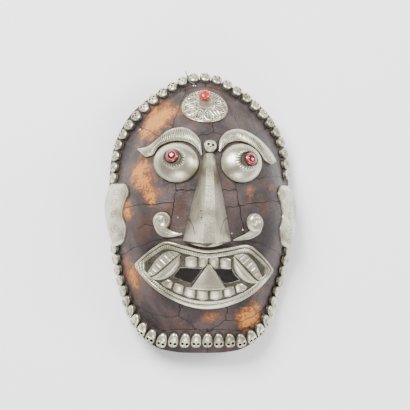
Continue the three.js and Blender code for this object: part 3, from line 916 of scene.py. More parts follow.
@dataclass(frozen=True)
class Horn:
    """The colours of the shell, and the spacing of its growth rings in millimetres."""

    dark: str = "211919"
    light: str = "4d3e3b"
    rust: str = "4a2c1c"
    dust: str = "75655e"
    ring: str = "1c1415"
    rubbed: str = "7a4520"
    gold: str = "c07f33"
    seam: str = "0e0908"
    spacing: float = 1.25


@dataclass(frozen=True)
class WhiteMetal:
    """The colours of the beaten metal, and how metallic it is."""

    light: str = "d2cdb8"
    grey: str = "9c9681"
    dull: str = "6a6353"
    # Patina and painted shade: the dark colour of hollows, engraved lines, the feet of beads and skulls,
    # and the nose's middle flat.
    patina_and_shade: str = "2b2620"
    # Painted shade: near black for the inside of holes, such as the skulls' eyes and the pins in the nose.
    hole: str = "0d0b09"
    metallic: float = 0.88


@dataclass(frozen=True)
class RedGlass:
    """The colours of the eye beads from their edge to their middle, the last a painted highlight."""

    edge: str = "3c070b"
    red: str = "7a1216"
    pink: str = "c65a54"
    dark: str = "3a0709"
    # Painted highlight: the brighter red at the bead's middle.
    middle: str = "a8241f"


@dataclass(frozen=True)
class Coral:
    """The colours of the coral and of the painted shade in its hole."""

    deep: str = "a8241a"
    pale: str = "c8452f"
    # Painted shade: the dark colour of the drilled hole and of the foot.
    hole: str = "3a0b0b"


@dataclass(frozen=True)
class Cotton:
    """The colours of the thread."""

    dark: str = "46564c"
    pale: str = "7d8f80"


@dataclass(frozen=True)
class Worn:
    """A rubbed patch of the shell: its place in millimetres, its size and how strong it is."""

    x: float
    y: float
    z: float
    size: float
    strength: float


WORN = (
    Worn(-45, 100, 58, 34, 1.0),
    Worn(-62, 78, 60, 26, 0.75),
    Worn(-64, 36, 68, 24, 1.0),
    Worn(-52, 14, 78, 22, 0.8),
    Worn(-73, 1, 54, 20, 0.9),
    Worn(-80, -40, 40, 18, 0.4),
    Worn(-72, -66, 38, 24, 0.9),
    Worn(50, -107, 40, 26, 1.0),
    Worn(8, -110, 50, 22, 0.55),
    Worn(62, -78, 45, 20, 0.4),
    Worn(44, 12, 86, 20, 0.45),
    Worn(64, 26, 68, 20, 0.4),
    Worn(30, 118, 50, 18, 0.25),
)


class Finishes:
    """The five finishes of the mask."""

    def __init__(self, shift: float) -> None:
        """Makes every finish.

        Args:
            shift: How far up the face the frame's origin moves the mask, in millimetres.
        """
        self.shift = shift
        self.made = {
            Slot.SHELL: self._shell(),
            Slot.METAL: self._metal(),
            Slot.GLASS: self._glass(),
            Slot.CORAL: self._coral(),
            Slot.COTTON: self._cotton(),
        }

    def _shell(self) -> bpy.types.Material:
        """Worn horn: dark violet brown with growth rings, dark seams and rubbed golden patches."""
        tones = Horn()
        shader = Shader("shell_horn", specular_ior_level=0.4)
        seam, ring = shader.attribute("seam"), shader.attribute("ring")
        broad, middle = shader.noise(24, 4, 0.6), shader.noise(90, 5, 0.4)
        fine, grain = shader.noise(420, 4), shader.noise(1500, 2)
        groove = (1.0 - seam.absolute().between(0.05, 0.5)) * (1.0 - ring.between(0.9, 1.6))
        wander = (middle - 0.5) * 1.6
        rings = ((ring + wander) * (TURN / tones.spacing)).sine() * 0.5 + 0.5
        rings = rings * (0.35 + fine.between(0.35, 0.65) * 0.65)
        worn: Signal | float = 0.0
        for patch in WORN:
            centre = (patch.x * MM, (patch.y + self.shift) * MM, patch.z * MM)
            worn = shader.near(*centre, patch.size * MM) * (1.8 * patch.strength) + worn
        ragged = worn - (1.0 - middle.between(0.3, 0.7)) * 0.55 - (1.0 - fine.between(0.35, 0.65)) * 0.25
        rubbed = ragged.between(0.05, 0.6)
        bright = (ragged - (1.0 - fine.between(0.4, 0.6)) * 0.35).between(0.35, 0.85)
        base = shader.blend(colour(tones.dark), colour(tones.light), broad.between(0.38, 0.66))
        base = shader.blend(base, colour(tones.rust), shader.noise(38, 3, 0.5).between(0.48, 0.7) * 0.8)
        base = shader.blend(base, colour(tones.dust), grain.between(0.52, 0.8) * 0.3)
        base = shader.blend(base, colour(tones.ring), rings * 0.5)
        base = shader.blend(base, colour(tones.rubbed), rubbed * 0.9)
        base = shader.blend(base, colour(tones.gold), bright * 0.8)
        base = shader.blend(base, colour(tones.seam), groove * 0.9)
        shader.set("Base Color", base)
        shader.set("Roughness", 0.5 + (fine - 0.5) * 0.3)
        relief = (1.0 - groove) * 2.2 + rings * -0.42 + fine * 0.9 + middle * 1.2 + grain * 0.3
        shader.bump(relief, 0.0006, 0.9)
        return shader.material

    def _metal(self) -> bpy.types.Material:
        """Beaten white metal: pale and satin, grey where it is hollow from patina and painted shade, and
        painted near black in holes.
        """
        tones = WhiteMetal()
        shader = Shader("white_metal", metallic=tones.metallic)
        hollow = shader.attribute("hollow")
        cloud, fine = shader.noise(45, 4, 0.4), shader.noise(700, 3)
        base = shader.blend(colour(tones.light), colour(tones.grey), cloud.between(0.38, 0.68))
        base = shader.blend(base, colour(tones.dull), fine.between(0.5, 0.76) * 0.55)
        # Patina and painted shade: the dark colour follows the stored hollow value, which marks hollows and
        # also places where shade or a dark reflection falls.
        patina_and_shade_share = (hollow + (fine - 0.5) * 0.3).between(0.06, 0.62)
        base = shader.blend(base, colour(tones.patina_and_shade), patina_and_shade_share * 0.93)
        # Painted shade: past a stored value of 1 the metal is painted near black, as the shade inside a
        # hole.
        base = shader.blend(base, colour(tones.hole), hollow.between(1.05, 1.5))
        shader.set("Base Color", base)
        shader.set("Roughness", 0.36 + (fine - 0.5) * 0.18 + patina_and_shade_share * 0.25)
        shader.bump(cloud * 0.6 + fine * 0.25, 0.0004, 0.6)
        return shader.material

    def _glass(self) -> bpy.types.Material:
        """Red glass in rings: dark outside, pink about the pupil, and dark again within it, with a painted
        highlight of brighter red at its middle.
        """
        tones = RedGlass()
        shader = Shader("red_glass", roughness=0.08, coat_weight=0.8, coat_roughness=0.05)
        ring = shader.attribute("hollow")
        base = shader.blend(colour(tones.edge), colour(tones.red), ring.between(0.0, 0.3))
        base = shader.blend(base, colour(tones.pink), ring.between(0.35, 0.5))
        base = shader.blend(base, colour(tones.dark), ring.between(0.6, 0.7))
        # Painted highlight: a brighter red point at the bead's middle.
        base = shader.blend(base, colour(tones.middle), ring.between(0.85, 0.97))
        shader.set("Base Color", base)
        return shader.material

    def _coral(self) -> bpy.types.Material:
        """Polished coral, painted dark in its hole and at its foot as painted shade."""
        tones = Coral()
        shader = Shader("coral", roughness=0.22, coat_weight=0.5, subsurface_weight=0.15)
        hollow, cloud = shader.attribute("hollow"), shader.noise(160, 3, 0.5)
        base = shader.blend(colour(tones.deep), colour(tones.pale), cloud.between(0.45, 0.75))
        # Painted shade: dark in the drilled hole and slightly darker at the foot.
        base = shader.blend(base, colour(tones.hole), hollow.between(0.1, 0.9))
        shader.set("Base Color", base)
        return shader.material

    def _cotton(self) -> bpy.types.Material:
        """Grey-green cotton."""
        tones = Cotton()
        shader = Shader("cotton", roughness=0.92)
        base = shader.blend(colour(tones.dark), colour(tones.pale), shader.noise(900, 3).between(0.35, 0.7))
        shader.set("Base Color", base)
        shader.bump(shader.noise(3500, 2), 0.0002)
        return shader.material


# ------------------------------------------------------------------ the seams of the shell

SEAMS: tuple[Outline, ...] = (
    ((-17, 124), (-28, 94), (-38, 66), (-29, 40), (-29.6, 21.7), (-31.4, 3.3), (-32.3, -4.4), (-38, -30),
     (-30, -56), (-24, -76), (-23.1, -93), (-23.6, -104.5), (-2, -118.9), (4, -122)),
    ((18, 124), (30, 94), (40, 66), (30, 40), (29.1, 23.3), (31.2, 6.8), (33.3, 0.1), (39, -30),
     (31, -56), (25, -78), (24, -95), (23.5, -108.2), (9.9, -117.9), (4, -122)),
    ((-38, 66), (-8, 70), (8, 74), (40, 66)),
    ((8, 74), (7, 82)),
    ((-29.6, 15.8), (-12.1, 15.8), (15.2, 16.1), (29.1, 16.5)),
    ((-38, -30), (39, -30)),
    ((-24, -76), (25, -78)),
    ((-38, 66), (-58, 82), (-70, 94)),
    ((-31.4, 3.3), (-71.5, 2.8), (-90, 1)),
    ((-38, -30), (-70, -38), (-92, -48)),
    ((-23.6, -104.5), (-36.3, -106.4), (-56, -100), (-68, -92)),
    ((40, 66), (58, 82), (72, 92)),
    ((18.4, -1.2), (31.8, 1), (47.5, 4.6), (77.1, 10.1), (90, 11)),
    ((47.5, 28.3), (62, 32), (79, 36.8), (92, 37)),
    ((39, -30), (70, -38), (92, -48)),
    ((23.5, -108.2), (40, -110), (58, -100), (68, -92)),
    ((-40, -24), (-58, -16), (-66, -20)),
)  # fmt: skip


class Seams:
    """Where the plates of the shell meet."""

    STEP = 0.3

    def __init__(self, form: Form) -> None:
        """Draws the seams on the shell.

        Args:
            form: The shell.
        """
        lines = [self._drape(form, np.asarray(line, float)) for line in SEAMS]
        direction = np.radians(np.linspace(-180, 180, 2400))
        lines.append(form.point(direction, self._margin(form, direction)))
        for degrees in range(-168, 180, 16):
            spoke = np.full(80, math.radians(degrees))
            start = float(self._margin(form, spoke[:1])[0])
            lines.append(form.point(spoke, np.linspace(start, 1, 80)))
        self.points = np.concatenate(lines)
        ahead = np.concatenate([np.gradient(line, axis=0) for line in lines])
        direction, reach = form.place(self.points[:, 0], self.points[:, 1])
        side = np.cross(ahead, form.normal(direction, reach))
        self.side = side / np.linalg.norm(side, axis=1, keepdims=True)
        self.tree = KDTree(len(self.points))
        for i, point in enumerate(self.points):
            self.tree.insert(point, i)
        self.tree.balance()

    @staticmethod
    def _margin(form: Form, direction: Array) -> Array:
        """The reach of the seam inside the rim's plates."""
        return np.minimum(form.profile(direction, "row") - 0.075, 0.86)

    def _drape(self, form: Form, line: Array) -> Array:
        """Samples a line of the face closely on the shell."""
        pieces = []
        for start, end in zip(line[:-1], line[1:], strict=True):
            length = np.linalg.norm(end - start)
            share = np.arange(0, length, self.STEP) / length
            flat = start + share[:, None] * (end - start)
            bend = 0.8 * np.sin(share * math.pi * 3 + start.sum()) * arch(share)
            normal = np.array([start[1] - end[1], end[0] - start[0]]) / length
            pieces.append(flat + bend[:, None] * normal)
        flat = np.concatenate(pieces)
        return form.over(flat[:, 0], flat[:, 1], 0.0)

    def measure(self, points: Array) -> tuple[Array, Array]:
        """Measures points against the nearest seam.

        Args:
            points: The points.

        Returns:
            Their distances to one side of it, and their plain distances.
        """
        signed, plain = np.empty(len(points)), np.empty(len(points))
        for i, point in enumerate(points):
            found, index, distance = self.tree.find(point)
            signed[i] = (point - np.asarray(found)).dot(self.side[index])
            plain[i] = distance
        return signed, plain


# ------------------------------------------------------------------ the pieces


@dataclass(frozen=True)
class Eye:
    """An eye's place and size, and its bead's place in it."""

    x: float
    y: float
    across: float
    up: float
    bead: tuple[float, float]


@dataclass(frozen=True)
class Brow:
    """The edges of a brow from its outer to its inner end, and how far its strokes reach up."""

    lower: Outline
    upper: Outline
    strokes: float


@dataclass(frozen=True)
class Moustache:
    """A moustache's disc and the edges of its tail."""

    x: float
    y: float
    radius: tuple[float, float]
    side: int
    lower: Outline
    upper: Outline


EYES = {
    "left": Eye(-28.8, 42.7, 21.6, 19.8, (-2.1, 3.2)),
    "right": Eye(34, 43.3, 20.4, 19.6, (4.3, 0.9)),
}
EYE_RIM = 0.8
EYE_HEIGHT = 12.0
COLLAR_INNER = 6.9
COLLAR_OUTER = 8.0
BROWS = {
    "left": Brow(
        ((-57.5, 50), (-50.9, 51.4), (-45.4, 58.8), (-37, 63),
         (-27.6, 64.4), (-18, 62.8), (-10.4, 57.6), (-5.6, 49.6)),
        ((-65, 60.6), (-55.2, 60.9), (-45.9, 67.6), (-35, 76.4),
         (-21.6, 78.6), (-12, 73.2), (-5.6, 64), (-4.1, 50.2)),
        0.85,
    ),
    "right": Brow(
        ((65.5, 45.4), (58.4, 48), (53.6, 54.2), (46.4, 60.4),
         (38, 64.4), (30, 65), (20.6, 61.8), (12.9, 53.4)),
        ((72.2, 51.4), (66.6, 59.4), (56, 68.2), (45.9, 74.4),
         (33, 78.4), (20.9, 75), (13.4, 66.4), (11.4, 54.4)),
        0.5,
    ),
}  # fmt: skip
MOUSTACHES = {
    "left": Moustache(
        -42.4, -13.2, (8.8, 9), 1,
        ((-22.8, -26.9), (-31, -29), (-39.5, -28.6), (-46.4, -24.6), (-50.6, -16)),
        ((-22.8, -25.7), (-29.5, -24.6), (-35.6, -21.6), (-39, -18.6), (-41, -14)),
    ),
    "right": Moustache(
        48.2, -14, (8.6, 9), -1,
        ((27, -32.6), (37, -31.2), (46.3, -28.6), (53.6, -23.6), (56.4, -16)),
        ((27, -31.2), (34.5, -27.4), (41, -24), (45, -20), (47, -14)),
    ),
}  # fmt: skip
NOSE_TOP, NOSE_BOTTOM, NOSE_APRON, NOSE_EDGE = 51.0, -32.6, 6.0, 0.9
NOSE_HALF, NOSE_RIDGE, NOSE_HEIGHT = (5.2, 23.5), (2.7, 6.1), (8.0, 38.0)
NOSTRILS, NOSTRIL_SIZE = ((-22.5, -34.0, 1), (22.5, -35.5, -1)), (10.5, 25.0)
NOSE_PINS = ((-6.6, -6.5), (-6.4, -13.5))
ENGRAVED = 0.28
UPPER_ROW, LOWER_ROW = (178.5, 5, 26), (-141, -39, 28)
MIDDLE_SEAT, HOLE_INSET, HOLE_RADII = 12, 9.4, (2.0, 1.7)
UPPER_SKULL, LOWER_SKULL, NOSE_SKULL = (10.9, 14.5, 5.4), (11.2, 16.5, 5.4), (12.6, 13.4, 7)
NOSE_SKULL_AT = (3.4, 58.2)
TONGUE_X, TONGUE_STAND, TONGUE_SHEET, TONGUE_RIDGE, TONGUE_BOW = 3.9, 3.9, 0.8, 0.5, 1.2
TONGUE_HALF, TONGUE_Y, TONGUE_LENGTH = (1.2, 17.2), (-53.6, -76.2), 22.6
TOOTH_GAP, TOOTH_RISE = 0.45, 3.5
LINK_SPACING, LINK_SLANT, LINK_SIZE = 2.25, math.radians(32), (1.75, 0.8, 0.95)
BEAD_PROFILE = (
    (6.2, 0), (6.4, 0.7), (6.35, 1.5), (5.9, 2.3), (5, 3), (4.4, 3.35),
    (3.7, 3.5), (3.2, 3.9), (2.6, 4.15), (1.6, 4.3), (0.6, 4.38),
)  # fmt: skip
# The glass colours' values for the bead's rings; the last rings carry the painted highlight at its middle.
BEAD_MARKS = (0, 0, 0.05, 0.15, 0.3, 0.5, 0.7, 0.75, 0.8, 0.84, 0.98)
MOUTH_X, MOUTH_TILT, MOUTH_RIM, MOUTH_BORDER, MOUTH_SHEET, MOUTH_STAND = 1.5, -0.03, 3.2, 7.4, 1.4, 0.9
UPPER_LIP = ((67, -53.5), (60, -46.6), (50, -38.6), (39.5, -33.6), (21, -37.4), (0, -40.6))
LOWER_LIP = ((66, -58), (59.5, -67), (48, -78.8), (34, -88), (17.5, -94.4), (0, -96.6))
MOUTH_OPENINGS: tuple[Outline, ...] = (
    ((-30.5, -67), (-24.5, -58.6), (-2.2, -59.4), (-12.6, -73.4), (-20.6, -71.4)),
    ((8.2, -59.4), (26, -58.6), (29.5, -65), (35, -69.6), (28, -72), (19.4, -73.4)),
)
MOUTH_SLOT: Outline = ((-29, -66), (-24, -58), (26, -58), (33.5, -68.6), (20, -74), (-13, -74))
UPPER_ROOTS, UPPER_TIPS = (-22.2, -9, 1.8, 12.2, 24), (-21.6, -8.6, 1.8, 12.6, 24.4)
LOWER_ROOTS = (-45, -33, -22.4, -9.5, 3.6, 18.2, 30, 43)
LOWER_TIPS = (-37, -30.7, -20.3, -9.4, 3.3, 16.7, 27.8, 35)
CHEEK_OUTER = ((27, -44.6), (36, -43), (46, -49.5), (53.5, -60.5), (56.5, -66))
CHEEK_INNER = ((25.6, -46.4), (26, -56), (32.5, -65.4), (43, -70.6), (54.5, -69))
EAR_INNER = (
    (80.5, -33), (77.2, -28), (76, -18), (79.5, -4), (77.6, 7), (73.8, 16.5), (76.5, 25.5), (84, 29.4),
)  # fmt: skip
EAR_MARGIN, EAR_STAND, EAR_BULGE, EAR_SHEET, EAR_CUT = 4.5, 9, 1.2, 1.4, 0.3
EAR_SPAN = (84.0, 20.0)
EAR_SCROLLS = (
    (12, 9, 4.2, 1), (25, 10, 5.6, -1), (38, 9, 4.6, 1),
    (51, 11, 5.4, -1), (63, 9, 5.4, 1), (75, 10, 4.2, -1),
)  # fmt: skip
MEDALLION_X, MEDALLION_Y, MEDALLION_RADIUS, PETALS = 0.4, 103.4, 22.6, 11
CORAL_X, CORAL_Y, CORAL_RADIUS, CORAL_HEIGHT, CORAL_STAND = 0.2, 110.8, 6.4, 5.6, 4.2
PINS = ((-27.3, -10.7), (-23.8, -25.9), (25.7, -25.4), (36.6, -21.7), (-62.9, 82.3))


class Mask:
    """Every piece of the mask."""

    def __init__(self, form: Form, finishes: Finishes, shift: float) -> None:
        """Takes what the pieces share.

        Args:
            form: The shell's form.
            finishes: The finishes.
            shift: How far up the face the frame's origin moves the mask, in millimetres.
        """
        self.form, self.finishes, self.shift = form, finishes, shift
        self.metal_copies = Scatter(finishes.made[Slot.METAL], 0.03)

    # -------------------------------------------------------------- placing

    def piece(
        self, name: str, mesh: bpy.types.Mesh, slot: Slot, nodes: Sequence[str] = ()
    ) -> bpy.types.Object:
        """Puts a mesh in the scene as a piece of the mask.

        Args:
            name: The piece's name.
            mesh: Its mesh, in the frame's place.
            slot: Its material slot.
            nodes: The nodes of the frame that it stands for.

        Returns:
            The piece.
        """
        mesh.materials.clear()
        mesh.materials.append(self.finishes.made[slot])
        thing = bpy.data.objects.new(name, mesh)
        bpy.context.scene.collection.objects.link(thing)
        if nodes:
            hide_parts(*nodes)
        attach(thing, "root")
        return thing

    def solid(
        self, name: str, solid: Solid, slot: Slot, nodes: Sequence[str] = (), sharp: float = 50.0
    ) -> bpy.types.Object:
        """Puts a solid in the scene as a piece of the mask.

        Args:
            name: The piece's name.
            solid: Its shape.
            slot: Its material slot.
            nodes: The nodes of the frame that it stands for.
            sharp: The angle in degrees past which an edge stays sharp.

        Returns:
            The piece.
        """
        return self.piece(name, solid.mesh(name, self.shift, sharp), slot, nodes)

    def punch(self, thing: bpy.types.Object, *outlines: Outline) -> None:
        """Cuts straight through a piece along outlines of the face.

        Args:
            thing: The piece.
            *outlines: The outlines.
        """
        for outline in outlines:
            ring = np.asarray(outline, float)
            flat = np.stack([np.column_stack([ring, np.full(len(ring), z)]) for z in (10.0, 130.0)])
            centre = ring.mean(axis=0)
            tool = Solid().rings(flat, np.array([*centre, 10.0]), np.array([*centre, 130.0]))
            cutter = bpy.data.objects.new("cutter", tool.mesh("cutter", self.shift, 30.0))
            bpy.context.scene.collection.objects.link(cutter)
            modifier = thing.modifiers.new("punch", "BOOLEAN")
            modifier.operation, modifier.solver, modifier.object = "DIFFERENCE", "EXACT", cutter
            graph = bpy.context.evaluated_depsgraph_get()
            graph.update()
            cut = bpy.data.meshes.new_from_object(thing.evaluated_get(graph), depsgraph=graph)
            thing.modifiers.clear()
            old, thing.data = thing.data, cut
            cut.name = thing.name
            bpy.data.meshes.remove(old)
            bpy.data.objects.remove(cutter)

    @staticmethod
    def merged(things: Sequence[bpy.types.Object]) -> bpy.types.Object:
        """Joins pieces into the first of them.

        Args:
            things: The pieces.

        Returns:
            The first piece.
        """
        with bpy.context.temp_override(active_object=things[0], selected_editable_objects=list(things)):
            bpy.ops.object.join()
        return things[0]

    # -------------------------------------------------------------- shapes on the shell

    def plate(
        self,
        place: Callable[[Array, Array, Array], Array],
        outline: Callable[[Array], tuple[Array, Array]],
        sectors: int,
        shares: Array,
        rise: Callable[[Array, Array], Array],
        blur: int = 4,
        depth: float = 0.5,
        darken_inside: tuple[float, float] = (0.0, 0.0),
    ) -> Solid:
        """A plate of rings lying on the shell.

        Args:
            place: Turns distances across and up from its middle, and a lift, into points.
            outline: Its edge at each angle about its middle.
            sectors: How many points it has in a ring.
            shares: Where its rings are, from 1 at its edge inwards.
            rise: The height of its top at each share and angle.
            blur: How many cells a hollow's surroundings reach.
            depth: The depth that counts as a whole hollow.
            darken_inside: The share inside which it is painted darker, and how strongly.

        Returns:
            The plate.
        """
        angle = np.linspace(0, TURN, sectors, endpoint=False)
        edge_x, edge_y = outline(angle)
        shares = np.asarray(shares)[:, None]
        lift = rise(shares, angle[None, :]) + np.zeros((len(shares), sectors))
        top = place(edge_x * shares, edge_y * shares, CLEARANCE + lift)
        low = np.array([[0.35], [0.7], [1.0]])
        under = place(edge_x * low, edge_y * low, np.full((3, sectors), CLEARANCE))
        middle = np.zeros((1, 1))
        hub = float(rise(np.full((1, 1), 1e-6), np.zeros((1, 1)))[0, 0])
        dark_share = hollows(lift, blur, depth, around=True)
        # Painted darker inside the given share: for the eyes, the collar and the seat within it.
        if darken_inside[1] > 0:
            dark_share = dark_share + darken_inside[1] * smooth(darken_inside[0] + 0.02, darken_inside[0] - 0.02, shares)
        hollow = np.concatenate([np.zeros((3, sectors)), dark_share])
        return Solid().rings(
            np.concatenate([under, top]),
            place(middle, middle, middle + CLEARANCE)[0, 0],
            place(middle, middle, middle + CLEARANCE + hub)[0, 0],
            hollow,
        )

    def strip(
        self,
        solid: Solid,
        lower: Outline,
        upper: Outline,
        size: tuple[int, int],
        rise: Callable[[Array, Array], Array],
        sink: float = 0.0,
        blur: int = 3,
        depth: float = 0.5,
    ) -> Solid:
        """Adds a strip lying on the shell between two edges.

        Args:
            solid: The solid that it is added to.
            lower: Points along its lower edge.
            upper: Points along its upper edge.
            size: How many rows and columns it has.
            rise: The height of its top at each share along and across it.
            sink: The height of its underside.
            blur: How many cells a hollow's surroundings reach.
            depth: The depth that counts as a whole hollow.

        Returns:
            The solid.
        """
        along = np.linspace(0, 1, size[0])[:, None]
        low, high = along_curve(lower, along[:, 0])[:, None], along_curve(upper, along[:, 0])[:, None]

        def spot(across: Array, lift: Array) -> Array:
            flat = mix(low, high, across[None, :, None])
            return self.form.over(flat[..., 0], flat[..., 1], CLEARANCE + lift)

        across = np.linspace(0, 1, size[1])
        lift = rise(along, across[None, :]) + np.zeros(size)
        few = np.linspace(0, 1, 5)
        return solid.slab(
            spot(across, lift), spot(few, np.full((size[0], 5), sink)), hollows(lift, blur, depth)
        )

    def turned(
        self, outline: Outline, sides: int, x: float, y: float, lift: float, marks: Sequence[float]
    ) -> Solid:
        """A body turned about the shell's normal.

        Args:
            outline: Its radii and heights, from its foot to its top.
            sides: How many points it has in a ring.
            x: Its place across the face.
            y: Its place up the face.
            lift: How high its foot stands.
            marks: The value stored on each ring.

        Returns:
            The body.
        """
        seat = self.form.seat_at(x, y)
        angle = np.linspace(0, TURN, sides, endpoint=False)
        rings = np.stack(
            [seat.point(r * np.cos(angle), r * np.sin(angle), lift + h) for r, h in outline]
        )
        start = seat.point(0.0, 0.0, lift + outline[0][1])
        end = seat.point(0.0, 0.0, lift + outline[-1][1])
        hollow = np.broadcast_to(np.asarray(marks, float)[:, None], (len(outline), sides))
        return Solid().rings(rings, start, end, hollow)

    # -------------------------------------------------------------- the shell

    def shell(self) -> None:
        """Builds the shell with its wall, its mouth slot, its hanging hole and its seams."""
        sectors, steps, inner_steps = 520, 128, 12
        direction = np.linspace(0, TURN, sectors, endpoint=False)[None, :]
        seams = Seams(self.form)
        reach = (np.linspace(1, 0, steps, endpoint=False) ** 0.9)[:, None]
        outer = self.form.point(direction, reach)
        signed, plain = seams.measure(outer.reshape(-1, 3))
        normal = self.form.normal(direction, reach)
        sunk = 0.3 * np.exp(-((plain / 3.0) ** 2)).reshape(steps, sectors)
        sunk *= np.clip((1 - reach) * 20, 0, 1)
        outer = outer - normal * sunk[..., None]
        edge = np.ones(1)
        round_edge = []
        for turn in (0.25, 0.5, 0.75):
            angle = math.pi * turn
            point = self.form.point(direction, edge) - self.form.normal(direction, edge) * (
                WALL / 2 * (1 - math.cos(angle))
            )
            round_edge.append(point)
        low = np.linspace(1, 0, inner_steps, endpoint=False)[:, None]
        inner = self.form.point(direction, low) - WALL * self.form.normal(direction, low)
        rings = np.concatenate([outer[::-1], *round_edge, inner])
        rings[..., 2] = np.maximum(rings[..., 2], 0.0)
        crown = np.array([0.0, CROWN_Y, CROWN_Z])
        solid = Solid().rings(rings, crown, crown - (0, 0, WALL))
        mesh = solid.mesh("shell", self.shift, 60.0)
        tail = len(mesh.vertices) - steps * sectors
        for name, values, rest in (
            ("seam", signed.reshape(steps, sectors)[::-1].ravel(), 9.0),
            ("ring", plain.reshape(steps, sectors)[::-1].ravel(), 9.0),
        ):
            store = mesh.attributes.new(name, "FLOAT", "POINT")
            filled = np.concatenate([values, np.full(tail, rest)]).astype(np.float32)
            store.data.foreach_set("value", filled)
        thing = self.piece("shell_skin", mesh, Slot.SHELL, ["shell"])
        self.punch(thing, MOUTH_SLOT)
        seat = self.form.row(*UPPER_ROW)[MIDDLE_SEAT]
        hole, (wide, high) = seat.point(0.0, HOLE_INSET, 0.0), HOLE_RADII
        angle = np.linspace(0, TURN, 20, endpoint=False)
        self.punch(thing, [(hole[0] + wide * math.cos(a), hole[1] + high * math.sin(a)) for a in angle])

    # -------------------------------------------------------------- eyes, brows, nose

    @staticmethod
    def _eye_lift(share: Array) -> Array:
        """The height of an eye's dome at a share of the way out from its bead."""
        return EYE_RIM + EYE_HEIGHT * np.maximum(0.0, 1 - share**2.2) ** 0.75

    def eye(self, side: str) -> None:
        """Builds an eye: a dome with a serrated collar.

        Args:
            side: left or right.
        """
        spec = EYES[side]

        def outline(angle: Array) -> tuple[Array, Array]:
            dx, dy = np.cos(angle), np.sin(angle)
            a = (dx / spec.across) ** 2 + (dy / spec.up) ** 2
            b = dx * spec.bead[0] / spec.across**2 + dy * spec.bead[1] / spec.up**2
            c = (spec.bead[0] / spec.across) ** 2 + (spec.bead[1] / spec.up) ** 2 - 1
            length = (-b + np.sqrt(b * b - a * c)) / a
            return dx * length, dy * length

        collar, seat = COLLAR_OUTER / spec.across, COLLAR_INNER / spec.across
        rays = 10.2 / spec.across

        def rise(share: Array, angle: Array) -> Array:
            teeth = 0.5 + 0.5 * np.cos(26 * angle)
            base = np.where(share > collar, self._eye_lift(share), self._eye_lift(np.array(collar)))
            wall = smooth(collar + 0.012, collar - 0.012, share) * smooth(seat - 0.02, seat + 0.012, share)
            ray = 0.55 * teeth * smooth(rays, collar + 0.02, share) * (share > collar - 0.01)
            nick = 0.245 * smooth(rays + 0.03, rays - 0.02, share) * (share > collar) * (1 - teeth)
            return base + wall * (0.75 + 0.35 * teeth) + ray - nick

        parts = ((1, rays + 0.05, 34), (rays + 0.03, seat - 0.03, 26), (seat - 0.06, 0.06, 5))
        shares = np.concatenate([np.linspace(*part) for part in parts])
        x, y = spec.x + spec.bead[0], spec.y + spec.bead[1]

        def place(u: Array, v: Array, lift: Array) -> Array:
            return self.form.over(x + u, y + v, lift)

        # The collar and what lies inside it are painted darker.
        solid = self.plate(place, outline, 208, shares, rise, blur=3, depth=0.45, darken_inside=(collar, 0.5))
        self.solid(f"eye_{side}_dome", solid, Slot.METAL, [f"eye_{side}"])
        floor = float(self._eye_lift(np.array(collar))) + CLEARANCE + 0.35
        bead = self.turned(BEAD_PROFILE, 48, x, y, floor, BEAD_MARKS)
        self.solid(f"eye_{side}_glass", bead, Slot.GLASS, [f"eye_bead_{side}"])

    def brow(self, side: str) -> None:
        """Builds a brow with its hair strokes.

        Args:
            side: left or right.
        """
        spec = BROWS[side]

        def rise(a: Array, b: Array) -> Array:
            body = 1 + 3.2 * np.sqrt(arch(b) * mix(0.35, 1.0, arch(a)))
            sweep = 46 * a + 2.4 * b + 0.35 * np.sin(19 * a + 5 * b)
            cut = np.abs(np.sin(math.pi * sweep)) ** 0.7
            reach = spec.strokes + 0.1 * np.sin(61 * a)
            zone = smooth(0.02, 0.1, b) * smooth(reach + 0.08, reach - 0.12, b)
            return body - 0.75 * (1 - cut) * zone * smooth(0, 0.04, a) * smooth(1, 0.95, a)

        solid = self.strip(Solid(), spec.lower, spec.upper, (340, 34), rise, blur=3, depth=0.4)
        self.solid(f"brow_{side}_hair", solid, Slot.METAL, [f"brow_{side}"])

    def nose(self) -> None:
        """Builds the nose: three flats with engraved nostrils and pins."""
        rows, columns = 150, 91
        a = np.linspace(0, 1, rows)[:, None]
        b = np.linspace(0, 1, columns)[None, :]
        middle_x = 3 - 1.7 * a
        ridge_x = 2.4 - 1.8 * a
        half, ridge, height = mix(*NOSE_HALF, a), mix(*NOSE_RIDGE, a), mix(*NOSE_HEIGHT, a)

        def drop(share: Array) -> Array:
            return mix(NOSE_TOP, NOSE_BOTTOM - NOSE_APRON * arch(share) * a, a)

        def foot(share: Array) -> Array:
            lift = np.full((rows, share.shape[1]), CLEARANCE)
            return self.form.over(middle_x + (2 * share - 1) * half, drop(share), lift)

